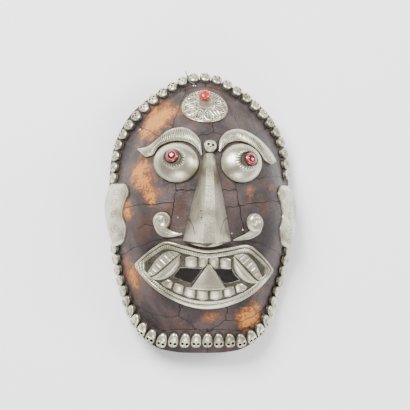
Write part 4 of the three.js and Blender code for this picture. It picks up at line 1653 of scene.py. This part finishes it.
        left, right = foot(np.zeros((1, 1))), foot(np.ones((1, 1)))
        left[..., 2] += NOSE_EDGE
        right[..., 2] += NOSE_EDGE
        base = self.form.over(ridge_x, drop(np.full((1, 1), 0.5)), np.zeros((rows, 1)))
        edges = []
        for sign in (-1, 1):
            edge = base.copy()
            edge[..., 0] = ridge_x + sign * ridge
            edge[..., 2] += height
            edges.append(edge)
        corner = [left, edges[0], edges[1], right]
        shares = b * 3
        top = np.zeros((rows, columns, 3))
        for k in range(3):
            local = np.clip(shares - k, 0, 1)[..., None]
            inside = ((shares >= k) & (shares <= k + 1))[..., None]
            top = np.where(inside, mix(corner[k], corner[k + 1], local), top)
        arcs = np.zeros((rows, columns))
        for x0, y0, side in NOSTRILS:
            q = np.hypot((top[..., 0] - x0) / NOSTRIL_SIZE[0], (top[..., 1] - y0) / NOSTRIL_SIZE[1])
            line = hump((q - 1) * 12, 0.55) * ((top[..., 0] - x0) * side > 0)
            arcs = np.maximum(arcs, line * smooth(0.98, 0.9, a))
        for x0, y0 in NOSE_PINS:
            arcs = np.maximum(arcs, 1.6 * hump(np.hypot(top[..., 0] - x0, top[..., 1] - y0), 0.75))
        top[..., 2] -= ENGRAVED * np.minimum(arcs, 1)
        # Painted reflection: the nose's middle flat is painted greyer, where it would reflect the dark side
        # of the studio.
        painted_ridge_reflection = smooth(0.985, 1.015, shares) * smooth(2.015, 1.985, shares)
        under = foot(np.linspace(0, 1, 7)[None, :])
        # The engraved nostril lines are painted darker (patina and painted shade), the pins' holes near
        # black (painted shade), and the middle flat grey (painted reflection).
        hollow = np.maximum(0.5 * np.minimum(arcs, 1) + (arcs > 1), 0.33 * painted_ridge_reflection)
        solid = Solid().slab(top, under, hollow)
        self.solid("nose_flats", solid, Slot.METAL, ["nose"], sharp=18.0)

    # -------------------------------------------------------------- skulls

    def _skull_template(
        self, name: str, side: Outline, eyes: tuple[float, float], hole: float
    ) -> bpy.types.Mesh:
        """A skull in relief, of unit width, length and height.

        Args:
            name: Its name.
            side: Half its outline from the top of the head to the jaw.
            eyes: The place of its right eye.
            hole: The radius of an eye's hole, as a share of the width.

        Returns:
            Its mesh, in metres for a size of 1.
        """
        sectors, steps = 48, 26
        loop = [(0.0, 0.5), *side, (0.0, -0.5), *[(-u, v) for u, v in reversed(side)], (0.0, 0.5)]
        fine = along_curve(loop, np.linspace(0, 1, 721)[:-1])
        angle = np.arctan2(fine[:, 1], fine[:, 0])
        order = np.argsort(angle)
        wanted = np.linspace(-math.pi, math.pi, sectors, endpoint=False)
        length = np.interp(wanted, angle[order], np.hypot(*fine.T)[order], period=TURN)
        shares = (1 - np.linspace(0, 1, steps, endpoint=False) ** 1.1)[:, None]
        u, v = shares * length * np.cos(wanted), shares * length * np.sin(wanted)
        height = 0.34 + 0.62 * np.sqrt(np.maximum(0, 1 - shares**2.6)) + np.zeros_like(u)
        # Painted shade: deep marks the eye holes, painted near black, and the nose, grin and teeth, painted
        # darker.
        deep = np.zeros_like(u)
        for sign in (-1, 1):
            away = np.hypot(u - sign * eyes[0], (v - eyes[1]) * 1.35)
            height = height + 0.07 * hump(away - 1.9 * hole, 0.06)
            height = height - 0.5 * smooth(1.25 * hole, 0.75 * hole, away)
            deep = np.maximum(deep, 1.7 * smooth(1.15 * hole, 0.8 * hole, away))
            height = height + 0.07 * hump(np.hypot(u - sign * 0.33, v - eyes[1] + 0.2), 0.12)
        nose = np.hypot(u * 1.6, (v - eyes[1] + 0.19) * 1.3)
        height = height - 0.16 * hump(nose, 0.085)
        deep = np.maximum(deep, 0.9 * hump(nose, 0.08))
        teeth_v = eyes[1] - 0.33 if eyes[1] > -0.1 else -0.42
        grin = hump(v - teeth_v, 0.018) * smooth(0.3, 0.22, np.abs(u))
        ticks = 0.5 + 0.5 * np.cos(u * TURN / 0.085)
        ticks = ticks * hump(v - teeth_v, 0.06) * smooth(0.28, 0.2, np.abs(u))
        height = height - 0.05 * grin - 0.05 * ticks
        deep = np.maximum(deep, np.maximum(0.8 * grin, 0.5 * ticks))
        brow = hump(v - eyes[1] - 0.13, 0.05) * smooth(0.4, 0.3, np.abs(u))
        height = height + 0.05 * brow - 0.04 * hump(v - eyes[1] - 0.2, 0.03) * smooth(0.36, 0.28, np.abs(u))
        top = np.stack([u, v, height], axis=-1)
        floor = top[:1].copy()
        floor[..., 2] = 0.0
        # Painted shade: darker at the skull's foot and towards its outer edge.
        hollow = np.concatenate([np.full((1, sectors), 0.4), deep + 0.5 * smooth(0.9, 1.0, shares)])
        tip = np.array([0.0, 0.0, float(height[-1].mean())])
        solid = Solid().rings(np.concatenate([floor, top]), np.zeros(3), tip, hollow)
        mesh = solid.mesh(name, 0.0, 60.0)
        mesh.transform(Matrix.Scale(1 / MM, 4))
        return mesh

    def skulls(self) -> None:
        """Builds the two rows of skulls and the skull above the nose."""
        round_head = ((0.26, 0.46), (0.44, 0.3), (0.5, 0.04), (0.43, -0.2), (0.3, -0.42))
        long_head = ((0.2, 0.45), (0.38, 0.27), (0.48, 0.0), (0.46, -0.22), (0.3, -0.42))
        broad = self._skull_template("round_skull", round_head, (0.2, 0.06), 0.115)
        tall = self._skull_template("long_skull", long_head, (0.2, -0.16), 0.11)
        for name, template, sign, size, seats, nodes in (
            ("upper_skulls", broad, -1, UPPER_SKULL, self.form.row(*UPPER_ROW),
             [f"upper_skull_{k:02d}" for k in range(1, 27)]),
            ("lower_skulls", tall, 1, LOWER_SKULL, self.form.row(*LOWER_ROW),
             [f"lower_skull_pair_{k:02d}" for k in range(1, 15)]),
        ):  # fmt: skip
            self._skull_row(name, template, sign, size, seats, nodes)
        seat = self.form.seat_at(*NOSE_SKULL_AT)
        small = ((0.3, 0.43), (0.47, 0.22), (0.5, 0.0), (0.4, -0.26), (0.24, -0.45))
        face = self._skull_template("small_skull", small, (0.19, 0.04), 0.1)
        upright = math.copysign(1, seat.up[1])
        self._skull_row("nose_skull_face", face, upright, NOSE_SKULL, [seat], ["nose_skull"])

    def _skull_row(
        self,
        name: str,
        template: bpy.types.Mesh,
        sign: float,
        size: tuple[float, float, float],
        seats: list[Seat],
        nodes: list[str],
    ) -> None:
        """Copies a skull to its seats.

        Args:
            name: The row's name.
            template: The skull.
            sign: -1 turns every skull half way round.
            size: Its width, length and height.
            seats: The seats.
            nodes: The nodes of the frame that the row stands for.
        """
        places = np.array([seat.origin + SKULL_CLEARANCE * seat.out for seat in seats])
        places = (places + (0.0, self.shift, 0.0)) * MM
        sizes = np.tile(np.array(size) * MM, (len(seats), 1))
        mesh = self.metal_copies.mesh(name, template, places, [seat.turn(sign) for seat in seats], sizes)
        bpy.data.meshes.remove(template)
        self.piece(name, mesh, Slot.METAL, nodes)

    # -------------------------------------------------------------- mouth

    @staticmethod
    def _mouth_spot(points: Outline) -> list[tuple[float, float]]:
        """Moves points of the even mouth to their place on the face."""
        return [(MOUTH_X + x, y + MOUTH_TILT * x) for x, y in points]

    def mouth(self) -> None:
        """Builds the mouth: lips with a corded border, teeth and cheek pads."""

        def whole(half: Outline) -> list[tuple[float, float]]:
            return self._mouth_spot([*[(-x, y) for x, y in half], *list(half)[-2::-1]])

        rows, columns = 400, 96
        along = np.linspace(0, 1, rows)
        low, high = along_curve(whole(LOWER_LIP), along), along_curve(whole(UPPER_LIP), along)
        tall = np.linalg.norm(high - low, axis=1)[:, None]
        b = np.linspace(0, 1, columns)[None, :]
        flat = mix(low[:, None], high[:, None], b[..., None])
        run = np.concatenate([[0.0], np.cumsum(np.linalg.norm(np.diff((low + high) / 2, axis=0), axis=1))])
        ends = np.minimum(run, run[-1] - run)[:, None] + 1.6
        inward = np.minimum(np.minimum(b, 1 - b) * tall, ends * 0.85)
        rim = np.where((1 - b) * tall < b * tall, MOUTH_RIM, MOUTH_RIM + 0.9)
        wide = MOUTH_BORDER - 0.3
        lift = 0.75 + 1.0 * np.sqrt(arch(inward / rim)) * (inward < rim)
        lift = lift - 0.35 * hump(inward - rim, 0.4) - 0.3 * hump(inward - wide - 0.9, 0.4)
        lift = lift + 0.35 * smooth(rim, rim + 0.8, inward) * smooth(wide + 0.9, wide, inward)
        stipple = 0.12 * np.sin(flat[..., 0] * 4.1 + 1.3 * np.sin(flat[..., 1] * 2.3))
        stipple = stipple * np.sin(flat[..., 1] * 4.6)
        lift = lift + stipple * smooth(wide + 0.5, wide + 2, inward)
        top = self.form.over(flat[..., 0], flat[..., 1], MOUTH_STAND + MOUTH_SHEET + lift)
        # Patina and painted shade in the lips' hollows; the field inside the corded border is also darker
        # as a whole.
        dark = hollows(lift, 4, 0.45) + 0.5 * smooth(wide + 0.9, wide + 1.8, inward)
        few = mix(low[:, None], high[:, None], np.linspace(0, 1, 9)[None, :, None])
        under = self.form.over(few[..., 0], few[..., 1], np.full((rows, 9), MOUTH_STAND))
        lips = self.solid("mouth_relief", Solid().slab(top, under, dark), Slot.METAL, ["mouth_plate"])
        self.punch(lips, *MOUTH_OPENINGS)
        teeth = Solid()
        self._teeth(teeth, UPPER_ROOTS, UPPER_TIPS, (-46.6, -0.0012), (-57.6, -0.0006))
        self._teeth(teeth, LOWER_ROOTS, LOWER_TIPS, (-88.4, 0.0076), (-77.6, 0.0062))
        parts = [lips, self.solid("teeth", teeth, Slot.METAL)]
        for side in (-1, 1):
            pad = self.solid(f"cheek_{side}", self._cheek(side), Slot.METAL)
            self.punch(pad, MOUTH_OPENINGS[0 if side < 0 else 1])
            parts.append(pad)
        parts.append(self._cord_border(flat, inward, (wide + MOUTH_RIM) / 2 + 0.4, top))
        self.merged(parts)

    def _teeth(
        self,
        solid: Solid,
        roots: Sequence[float],
        tips: Sequence[float],
        root: tuple[float, float],
        tip: tuple[float, float],
    ) -> None:
        """Adds a row of teeth.

        Args:
            solid: The solid that they are added to.
            roots: The sides of the teeth at their roots.
            tips: The sides of the teeth at their tips.
            root: The height and the bow of the line of their roots.
            tip: The height and the bow of the line of their tips.
        """

        def rise(a: Array, b: Array) -> Array:
            across = mix(0.5, 1.0, np.sqrt(arch(a)))
            down = mix(0.7, 1.0, smooth(0.0, 0.25, b)) * mix(0.72, 1.0, smooth(1.0, 0.8, b))
            return TOOTH_RISE * across * down

        for k in range(len(roots) - 1):
            base, edge = (
                self._mouth_spot([
                    (x, line[0] + line[1] * x**2)
                    for x in np.linspace(sides[k] + TOOTH_GAP, sides[k + 1] - TOOTH_GAP, 4)
                ])
                for sides, line in ((roots, root), (tips, tip))
            )  # fmt: skip
            self.strip(solid, base, edge, (20, 20), rise, sink=0.5 * MOUTH_SHEET, blur=2, depth=3.0)

    def _cheek(self, side: int) -> Solid:
        """The pad that closes one corner of the mouth.

        Args:
            side: -1 for the left and 1 for the right.

        Returns:
            The pad.
        """
        inner, outer = (
            self._mouth_spot([(side * x, y) for x, y in edge]) for edge in (CHEEK_INNER, CHEEK_OUTER)
        )

        def rise(a: Array, b: Array) -> Array:
            split = 0.48
            roll = np.sqrt(arch(b / split * 0.92 + 0.04)) * (b < split)
            ends = mix(0.45, 1.0, np.sqrt(arch(mix(0.02, 0.98, a))))
            field_zone = smooth(split - 0.02, split + 0.08, b)
            hatch = 0.5 + 0.5 * np.cos(TURN * (9.5 * a - 0.4 * b))
            hatch = hatch**3 * smooth(0.1, 0.2, a) * smooth(0.98, 0.86, a)
            hatch = hatch * smooth(split + 0.06, split + 0.14, b) * smooth(0.97, 0.86, b)
            plain = 2.3 * np.sqrt(arch(mix(0.12, 0.88, a))) + 0.5 * arch(b)
            return np.maximum(4.9 * roll * ends, plain * field_zone + 1.0) - 0.85 * hatch

        sink = 0.5 * MOUTH_SHEET
        return self.strip(Solid(), inner, outer, (180, 60), rise, sink=sink, blur=3, depth=0.6)

    def _cord_border(self, flat: Array, inward: Array, depth: float, top: Array) -> bpy.types.Object:
        """The corded border: small slanting links along the lips.

        Args:
            flat: The places of the lips' grid on the face.
            inward: The distance of each from the lips' edge.
            depth: The distance of the border's middle from the edge.
            top: The points of the lips' grid.

        Returns:
            The links.
        """
        middle = flat.shape[1] // 2
        loops = []
        for columns in (range(0, middle), range(flat.shape[1] - 1, middle - 1, -1)):
            columns = list(columns)
            reach = inward[:, columns]
            valid = reach.max(axis=1) > depth
            rows = np.flatnonzero(valid)
            column = np.array([np.interp(depth, reach[row], columns) for row in rows])
            low = np.floor(column).astype(int)
            part = (column - low)[:, None]
            near, far = top[rows, low], top[rows, np.minimum(low + 1, flat.shape[1] - 1)]
            loops.append(mix(near, far, part))
        line = np.concatenate([loops[0], loops[1][::-1], loops[0][:1]])
        length = np.concatenate([[0.0], np.cumsum(np.linalg.norm(np.diff(line, axis=0), axis=1))])
        count = int(length[-1] / LINK_SPACING)
        marks = np.linspace(0, length[-1], count, endpoint=False)
        places = np.stack([np.interp(marks, length, line[:, i]) for i in range(3)], axis=1)
        ahead = np.roll(places, -1, axis=0) - np.roll(places, 1, axis=0)
        direction, reach = self.form.place(places[:, 0], places[:, 1])
        out = self.form.normal(direction, reach)
        turns = []
        for forward, normal in zip(ahead, out, strict=True):
            forward = forward - normal * forward.dot(normal)
            forward /= np.linalg.norm(forward)
            sideways = np.cross(normal, forward)
            axis = math.cos(LINK_SLANT) * sideways + math.sin(LINK_SLANT) * forward
            other = np.cross(normal, axis)
            turns.append(tuple(Matrix(np.stack([axis, other, normal], axis=1).tolist()).to_quaternion()))
        link = self._bead_template("link", 14, 8)
        places = (places + (0.0, self.shift, 0.0)) * MM
        sizes = np.tile(np.array(LINK_SIZE) * MM, (count, 1))
        mesh = self.metal_copies.mesh("cord_border", link, places, turns, sizes)
        bpy.data.meshes.remove(link)
        return self.piece("cord_border", mesh, Slot.METAL)

    @staticmethod
    def _bead_template(name: str, sectors: int, steps: int) -> bpy.types.Mesh:
        """A bead of radius 1, darker towards its foot, where shade is painted.

        Args:
            name: Its name.
            sectors: How many points it has in a ring.
            steps: How many rings it has.

        Returns:
            Its mesh, in metres.
        """
        polar = np.linspace(0, math.pi, steps + 2)[1:-1][:, None]
        angle = np.linspace(0, TURN, sectors, endpoint=False)[None, :]
        around, height = np.sin(polar), np.broadcast_to(np.cos(polar), (steps, sectors))
        rings = np.stack([around * np.cos(angle), around * np.sin(angle), height], axis=-1)
        # Painted shade: darker towards the foot, where the bead sits on the metal.
        hollow = np.clip(0.8 - rings[..., 2] * 1.6, 0.0, 0.9)
        solid = Solid().rings(rings, np.array([0.0, 0.0, 1.0]), np.array([0.0, 0.0, -1.0]), hollow)
        mesh = solid.mesh(name, 0.0, 180.0)
        mesh.transform(Matrix.Scale(1 / MM, 4))
        return mesh

    def tongue(self) -> None:
        """Builds the tongue: a grained triangle with a beaded edge."""
        rows, columns = 90, 81
        a, b = np.linspace(0, 1, rows)[:, None], np.linspace(0, 1, columns)[None, :]
        half = mix(*TONGUE_HALF, a)

        def spot(share: Array) -> tuple[Array, Array]:
            return TONGUE_X + (2 * share - 1) * half, mix(*TONGUE_Y, a) - TONGUE_BOW * a * arch(share)

        x, y = spot(b)
        edge = np.minimum(np.minimum(b, 1 - b) * 2 * half * 0.82, (1 - a) * TONGUE_LENGTH)
        beads = hump(edge - 1.0, 0.6) * (0.6 + 0.4 * np.cos(TURN * a * 17)) * smooth(0.99, 0.95, a)
        grain = np.sin(x * TURN / 1.7) * np.sin(y * TURN / 1.5)
        lift = TONGUE_SHEET + TONGUE_RIDGE * (1 - np.abs(2 * b - 1)) + 0.5 * beads
        lift = lift + 0.26 * grain * smooth(1.6, 2.4, edge)
        stand = TONGUE_STAND + CLEARANCE
        top = self.form.over(x, y, stand + lift)
        under = self.form.over(*spot(np.linspace(0, 1, 5)[None, :]), np.full((rows, 5), stand))
        self.solid("tongue_grain", Solid().slab(top, under, hollows(lift, 3, 0.35)), Slot.METAL, ["tongue"])

    # -------------------------------------------------------------- moustaches, ears

    def moustache(self, side: str) -> None:
        """Builds a moustache: a spiral and its tail.

        Args:
            side: left or right.
        """
        spec = MOUSTACHES[side]

        def rise(share: Array, angle: Array) -> Array:
            phase = spec.side * angle / TURN - 1.4 * share
            ridge = (0.5 + 0.5 * np.cos(TURN * phase)) ** 0.8
            edge = smooth(1.0, 0.9, share)
            nicks = 0.18 * np.cos(28 * angle) * hump(share - 0.86, 0.07)
            return 1.2 * edge + 1.7 * ridge * edge * np.minimum(1, 3 * share) + 0.5 * (1 - share) + nicks

        disc = self.plate(
            lambda u, v, lift: self.form.over(spec.x + u, spec.y + v, lift),
            lambda angle: (spec.radius[0] * np.cos(angle), spec.radius[1] * np.sin(angle)),
            112, np.linspace(1, 0.04, 34), rise, blur=3, depth=0.8,
        )  # fmt: skip

        def tail(a: Array, b: Array) -> Array:
            veins = hump(b - 0.34, 0.05) + hump(b - 0.66, 0.05)
            return 0.9 + 1.7 * arch(b) * (0.4 + 0.6 * a) - 0.4 * veins

        self.strip(disc, spec.lower, spec.upper, (110, 34), tail, blur=3, depth=0.5)
        self.solid(f"moustache_{side}_curl", disc, Slot.METAL, [f"moustache_{side}"])

    def ear(self, side: str) -> None:
        """Builds an ear: a thin leaf with engraved scrolls.

        Args:
            side: left or right.
        """
        sign = -1 if side == "left" else 1
        rows, columns = 170, 44
        a, b = np.linspace(0, 1, rows)[:, None], np.linspace(0, 1, columns)[None, :]
        inner = along_curve(EAR_INNER, a[:, 0])
        x, y = inner[:, :1], inner[:, 1:]
        outer = np.full_like(y, STATIONS[-1].radius)
        for _ in range(8):
            direction = np.arctan2(y - CROWN_Y, outer)
            outer = self.form.profile(direction, "radius") * np.cos(direction)
        outer = np.maximum(x + 1.5, outer - EAR_MARGIN)
        full = np.sqrt(np.sin(math.pi * mix(0.05, 0.95, a)))

        def leaf(b: Array, thickness: Array | float) -> Array:
            stand = EAR_STAND * full * b**1.4 + EAR_BULGE * arch(b)
            across = sign * mix(x, outer, b * full)
            return self.form.over(across, y + 0 * b, CLEARANCE + stand + thickness)

        u, v = a * EAR_SPAN[0], b * EAR_SPAN[1] * full
        cuts = np.zeros((rows, columns))
        for u0, v0, size, spin in EAR_SCROLLS:
            rho, theta = np.hypot(u - u0, v - v0), np.arctan2(v - v0, u - u0)
            phase = rho / 2.6 - spin * theta / TURN
            line = hump((phase - np.round(phase)) * 2.6, 0.42)
            cuts = np.maximum(cuts, line * smooth(size, size - 0.8, rho) * smooth(0.4, 1.2, rho))
        cuts = np.maximum(cuts, 0.8 * hump(v - 1.4, 0.35) * smooth(0.03, 0.08, a) * smooth(0.97, 0.92, a))
        lift = EAR_SHEET - EAR_CUT * cuts
        solid = Solid().slab(leaf(b, lift), leaf(np.linspace(0, 1, 7)[None, :], 0.0), 0.42 * cuts)
        self.solid(f"ear_{side}_leaf", solid, Slot.METAL, [f"ear_{side}"])

    # -------------------------------------------------------------- medallion, coral, thread

    def medallion(self) -> None:
        """Builds the medallion: a flower of petals with veins inside a beaded rim."""
        seat = self.form.seat_at(MEDALLION_X, MEDALLION_Y)
        stations = ((0.0, 3.0), (0.26, 3.0), (0.42, 2.4), (0.7, 1.9), (0.84, 1.3), (0.94, 1.6), (1.0, 1.0))
        at, level = np.array(stations).T

        def rise(share: Array, angle: Array) -> Array:
            phase = angle * PETALS / TURN
            off = (phase - np.round(phase)) * TURN / PETALS
            radius = share * MEDALLION_RADIUS
            x, y = radius * off, radius - 14.6
            size = np.hypot(x / 3.5, y / 5.4)
            petal = 0.75 * hump(size - 1.0, 0.2) + 0.55 * hump(x, 0.45) * smooth(0.85, 0.6, size)
            petal = petal - 0.35 * smooth(1.0, 0.7, size) + 0.3 * hump(size - 0.62, 0.1)
            between = off - np.sign(off) * math.pi / PETALS
            leaf = 0.6 * hump(np.hypot(radius * between / 0.9, (radius - 18.6) / 2.0), 1.0)
            centre = 0.3 * np.cos(33 * angle) * smooth(0.25, 0.3, share) * smooth(0.44, 0.38, share)
            return np.interp(share, at, level) + petal + leaf + centre

        solid = self.plate(
            lambda u, v, lift: self.form.under_seat(seat, u, v, lift),
            lambda angle: (MEDALLION_RADIUS * np.cos(angle), MEDALLION_RADIUS * np.sin(angle)),
            352, np.linspace(1, 0.03, 72), rise, blur=5, depth=0.45,
        )  # fmt: skip
        flower = self.solid("medallion_flower", solid, Slot.METAL, ["medallion"])
        count = 58
        angle = np.linspace(0, TURN, count, endpoint=False)
        ring = 0.94 * MEDALLION_RADIUS
        places = self.form.under_seat(
            seat, ring * np.cos(angle), ring * np.sin(angle), np.full(count, CLEARANCE + 1.7)
        )
        bead = self._bead_template("bead", 12, 7)
        places = (places + (0.0, self.shift, 0.0)) * MM
        sizes = np.full((count, 3), 0.95 * MM)
        mesh = self.metal_copies.mesh("medallion_rim", bead, places, [seat.turn()] * count, sizes)
        bpy.data.meshes.remove(bead)
        self.merged([flower, self.piece("medallion_rim", mesh, Slot.METAL)])

    def coral(self) -> None:
        """Builds the coral: a low round bead with a drilled hole."""
        radius, height, girdle = CORAL_RADIUS, CORAL_HEIGHT, 1.2
        profile = [(0.8 * radius, 0.0), (0.97 * radius, 0.5)]
        # Painted shade: these marks darken the foot slightly.
        marks = [0.3, 0.1]
        for angle in np.radians(np.linspace(0, 78, 14)):
            profile.append((radius * math.cos(angle), mix(girdle, height, math.sin(angle))))
            marks.append(0.0)
        # Painted shade: these marks paint the drilled hole dark.
        for r, h, mark in ((1.15, -0.35, 0.5), (0.95, -1.0, 1.0), (0.4, -1.3, 1.0)):
            profile.append((r, height + h))
            marks.append(mark)
        solid = self.turned(profile, 48, CORAL_X, CORAL_Y, CLEARANCE + CORAL_STAND, marks)
        self.solid("coral_drop", solid, Slot.CORAL, ["coral_bead"])

    def thread(self) -> None:
        """Builds the hanging thread: a twisted loop with a knot and one loose end."""
        seats = self.form.row(*UPPER_ROW)
        seat = seats[MIDDLE_SEAT]
        valley = (seats[MIDDLE_SEAT - 1].origin - seat.origin).dot(seat.across) / 2
        loop = (
            (1, -0.4, 4.5), (0.86, 3.2, 3.7), (0.6, 7.4, 2.2), (0.12, 9.3, 1.6), (0, HOLE_INSET, -2),
            (0.1, 9, -WALL - 1.6), (0.5, 4, -WALL - 1.8), (0.95, -1.8, -WALL - 1.2), (1, -5.4, -1.8),
            (1, -5.2, 2.4), (1, -2.4, 4.3), (1, -0.2, 4.6),
        )  # fmt: skip
        end = ((1, -1, 4.4), (1.06, -3, 5.4), (1.25, -5.6, 8.2))
        solid = Solid()
        for points, length in ((loop, 44.0), (end, 9.0)):
            knots = [seat.point(s * valley, i, h) for s, i, h in points]
            share = np.linspace(0, 1, int(length * 3))
            path = along_curve(knots, share)
            ahead = np.gradient(path, axis=0)
            ahead /= np.linalg.norm(ahead, axis=1, keepdims=True)
            side = np.cross(ahead, seat.across)
            side /= np.linalg.norm(side, axis=1, keepdims=True)
            other = np.cross(ahead, side)
            twist = (share * length / 2.6 * TURN)[:, None]
            for phase in (0.0, math.pi):
                ply = path + 0.3 * (np.cos(twist + phase) * side + np.sin(twist + phase) * other)
                solid.rings(*tube(ply, 0.4, 8, seat.across), 0.0)
        middle = seat.point(valley, -0.6, 4.8)
        angle = np.linspace(0, TURN, 40)
        for k, tilt in enumerate((0.2, 1.3, 2.3)):
            side = math.cos(tilt) * seat.out + math.sin(tilt) * seat.across
            wrap = middle + 0.95 * (np.cos(angle)[:, None] * seat.up + np.sin(angle)[:, None] * side)
            wrap = wrap + (k - 1) * 0.3 * seat.across
            reference = math.sin(tilt) * seat.out - math.cos(tilt) * seat.across
            solid.rings(*tube(wrap[:-1], 0.42, 8, reference), 0.0)
        self.solid("thread_twist", solid, Slot.COTTON, ["hanging_thread"], sharp=180.0)

    def pins(self) -> None:
        """Builds the small pins in the shell."""
        bead = self._bead_template("pin", 14, 8)
        seats = [self.form.seat_at(x, y) for x, y in PINS]
        places = (np.array([seat.point(0.0, 0.0, 0.1) for seat in seats]) + (0.0, self.shift, 0.0)) * MM
        sizes = np.tile(np.array((0.95, 0.95, 0.6)) * MM, (len(seats), 1))
        sizes[-1] *= 2.2
        mesh = self.metal_copies.mesh("pins", bead, places, [seat.turn() for seat in seats], sizes)
        bpy.data.meshes.remove(bead)
        self.piece("pins", mesh, Slot.METAL)

    def build(self) -> None:
        """Builds every piece."""
        self.shell()
        for side in ("left", "right"):
            self.eye(side)
            self.brow(side)
            self.moustache(side)
            self.ear(side)
        self.nose()
        self.skulls()
        self.mouth()
        self.tongue()
        self.medallion()
        self.coral()
        self.thread()
        self.pins()


# ------------------------------------------------------------------ the studio


@dataclass(frozen=True)
class Softbox:
    """A soft light: where it stands, how wide it is and how strong."""

    place: tuple[float, float, float]
    size: float
    power: float


@dataclass(frozen=True)
class View:
    """The camera: the turns of its line of sight, its distance, what it looks at, and its lens."""

    yaw: float = math.radians(4.7)
    pitch: float = math.radians(7.0)
    distance: float = 1.5
    height: float = 0.05
    aside: float = 0.002
    above: float = 0.0063
    sensor: float = 36.0
    lens: float = 131.7


@dataclass
class Studio:
    """A pale studio about the mask."""

    aim: Vector = field(default_factory=lambda: Vector((0.0, -0.002, 0.05)))
    lights: tuple[Softbox, ...] = (
        Softbox((-0.7, 0.9, 1.5), 0.9, 84.0),
        Softbox((1.3, 0.3, 1.1), 0.7, 24.0),
        Softbox((0.0, -1.4, 1.0), 0.8, 16.0),
    )

    def floor(self) -> None:
        """Lays a pale floor under the mask."""
        mesh = bpy.data.meshes.new("floor")
        reach = 6.0
        corners = [(x * reach, y * reach, 0) for x, y in ((-1, -1), (1, -1), (1, 1), (-1, 1))]
        mesh.from_pydata(corners, [], [(0, 1, 2, 3)])
        shader = Shader("floor", roughness=0.9)
        shader.surface.inputs["Base Color"].default_value = (0.97, 0.97, 0.97, 1)
        mesh.materials.append(shader.material)
        thing = bpy.data.objects.new("floor", mesh)
        bpy.context.scene.collection.objects.link(thing)

    def light(self) -> None:
        """Hangs the soft lights and a pale sky."""
        for k, box in enumerate(self.lights):
            data = bpy.data.lights.new(f"softbox_{k}", "AREA")
            data.size, data.energy = box.size, box.power
            lamp = bpy.data.objects.new(data.name, data)
            lamp.location = box.place
            lamp.rotation_euler = (self.aim - lamp.location).to_track_quat("-Z", "Y").to_euler()
            bpy.context.scene.collection.objects.link(lamp)
        world = bpy.data.worlds.new("studio")
        world.use_nodes = True
        sky = next(n for n in world.node_tree.nodes if n.type == "BACKGROUND")
        sky.inputs["Color"].default_value = (1.0, 1.0, 1.0, 1)
        sky.inputs["Strength"].default_value = 0.6
        bpy.context.scene.world = world

    def camera(self, shift: float) -> None:
        """Looks down on the mask from in front of its face.

        Args:
            shift: How far up the face the frame's origin moves the mask, in millimetres.
        """
        view = View()
        level = math.cos(view.pitch)
        back = Vector((-math.sin(view.yaw) * level, -math.sin(view.pitch), math.cos(view.yaw) * level))
        right = Vector((0, 1, 0)).cross(back).normalized()
        up = back.cross(right)
        target = Vector((0.0, shift * MM, view.height)) + right * view.aside + up * view.above
        data = bpy.data.cameras.new("camera")
        data.sensor_width, data.lens = view.sensor, view.lens
        eye = bpy.data.objects.new("camera", data)
        turn = Matrix((right, up, back)).transposed().to_4x4()
        eye.matrix_world = Matrix.Translation(target + back * view.distance) @ turn
        bpy.context.scene.collection.objects.link(eye)
        bpy.context.scene.camera = eye


def main() -> None:
    """Builds the mask and its studio."""
    logging.basicConfig(level=logging.INFO)
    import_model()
    chin = CROWN_Y - STATIONS[0].radius
    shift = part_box("shell")[0].y / MM - chin
    LOG.info("the mask moves %.3f mm up the face", shift)
    Mask(Form(STATIONS), Finishes(shift), shift).build()
    studio = Studio()
    studio.floor()
    studio.light()
    studio.camera(shift)


if __name__ == "__main__":
    main()
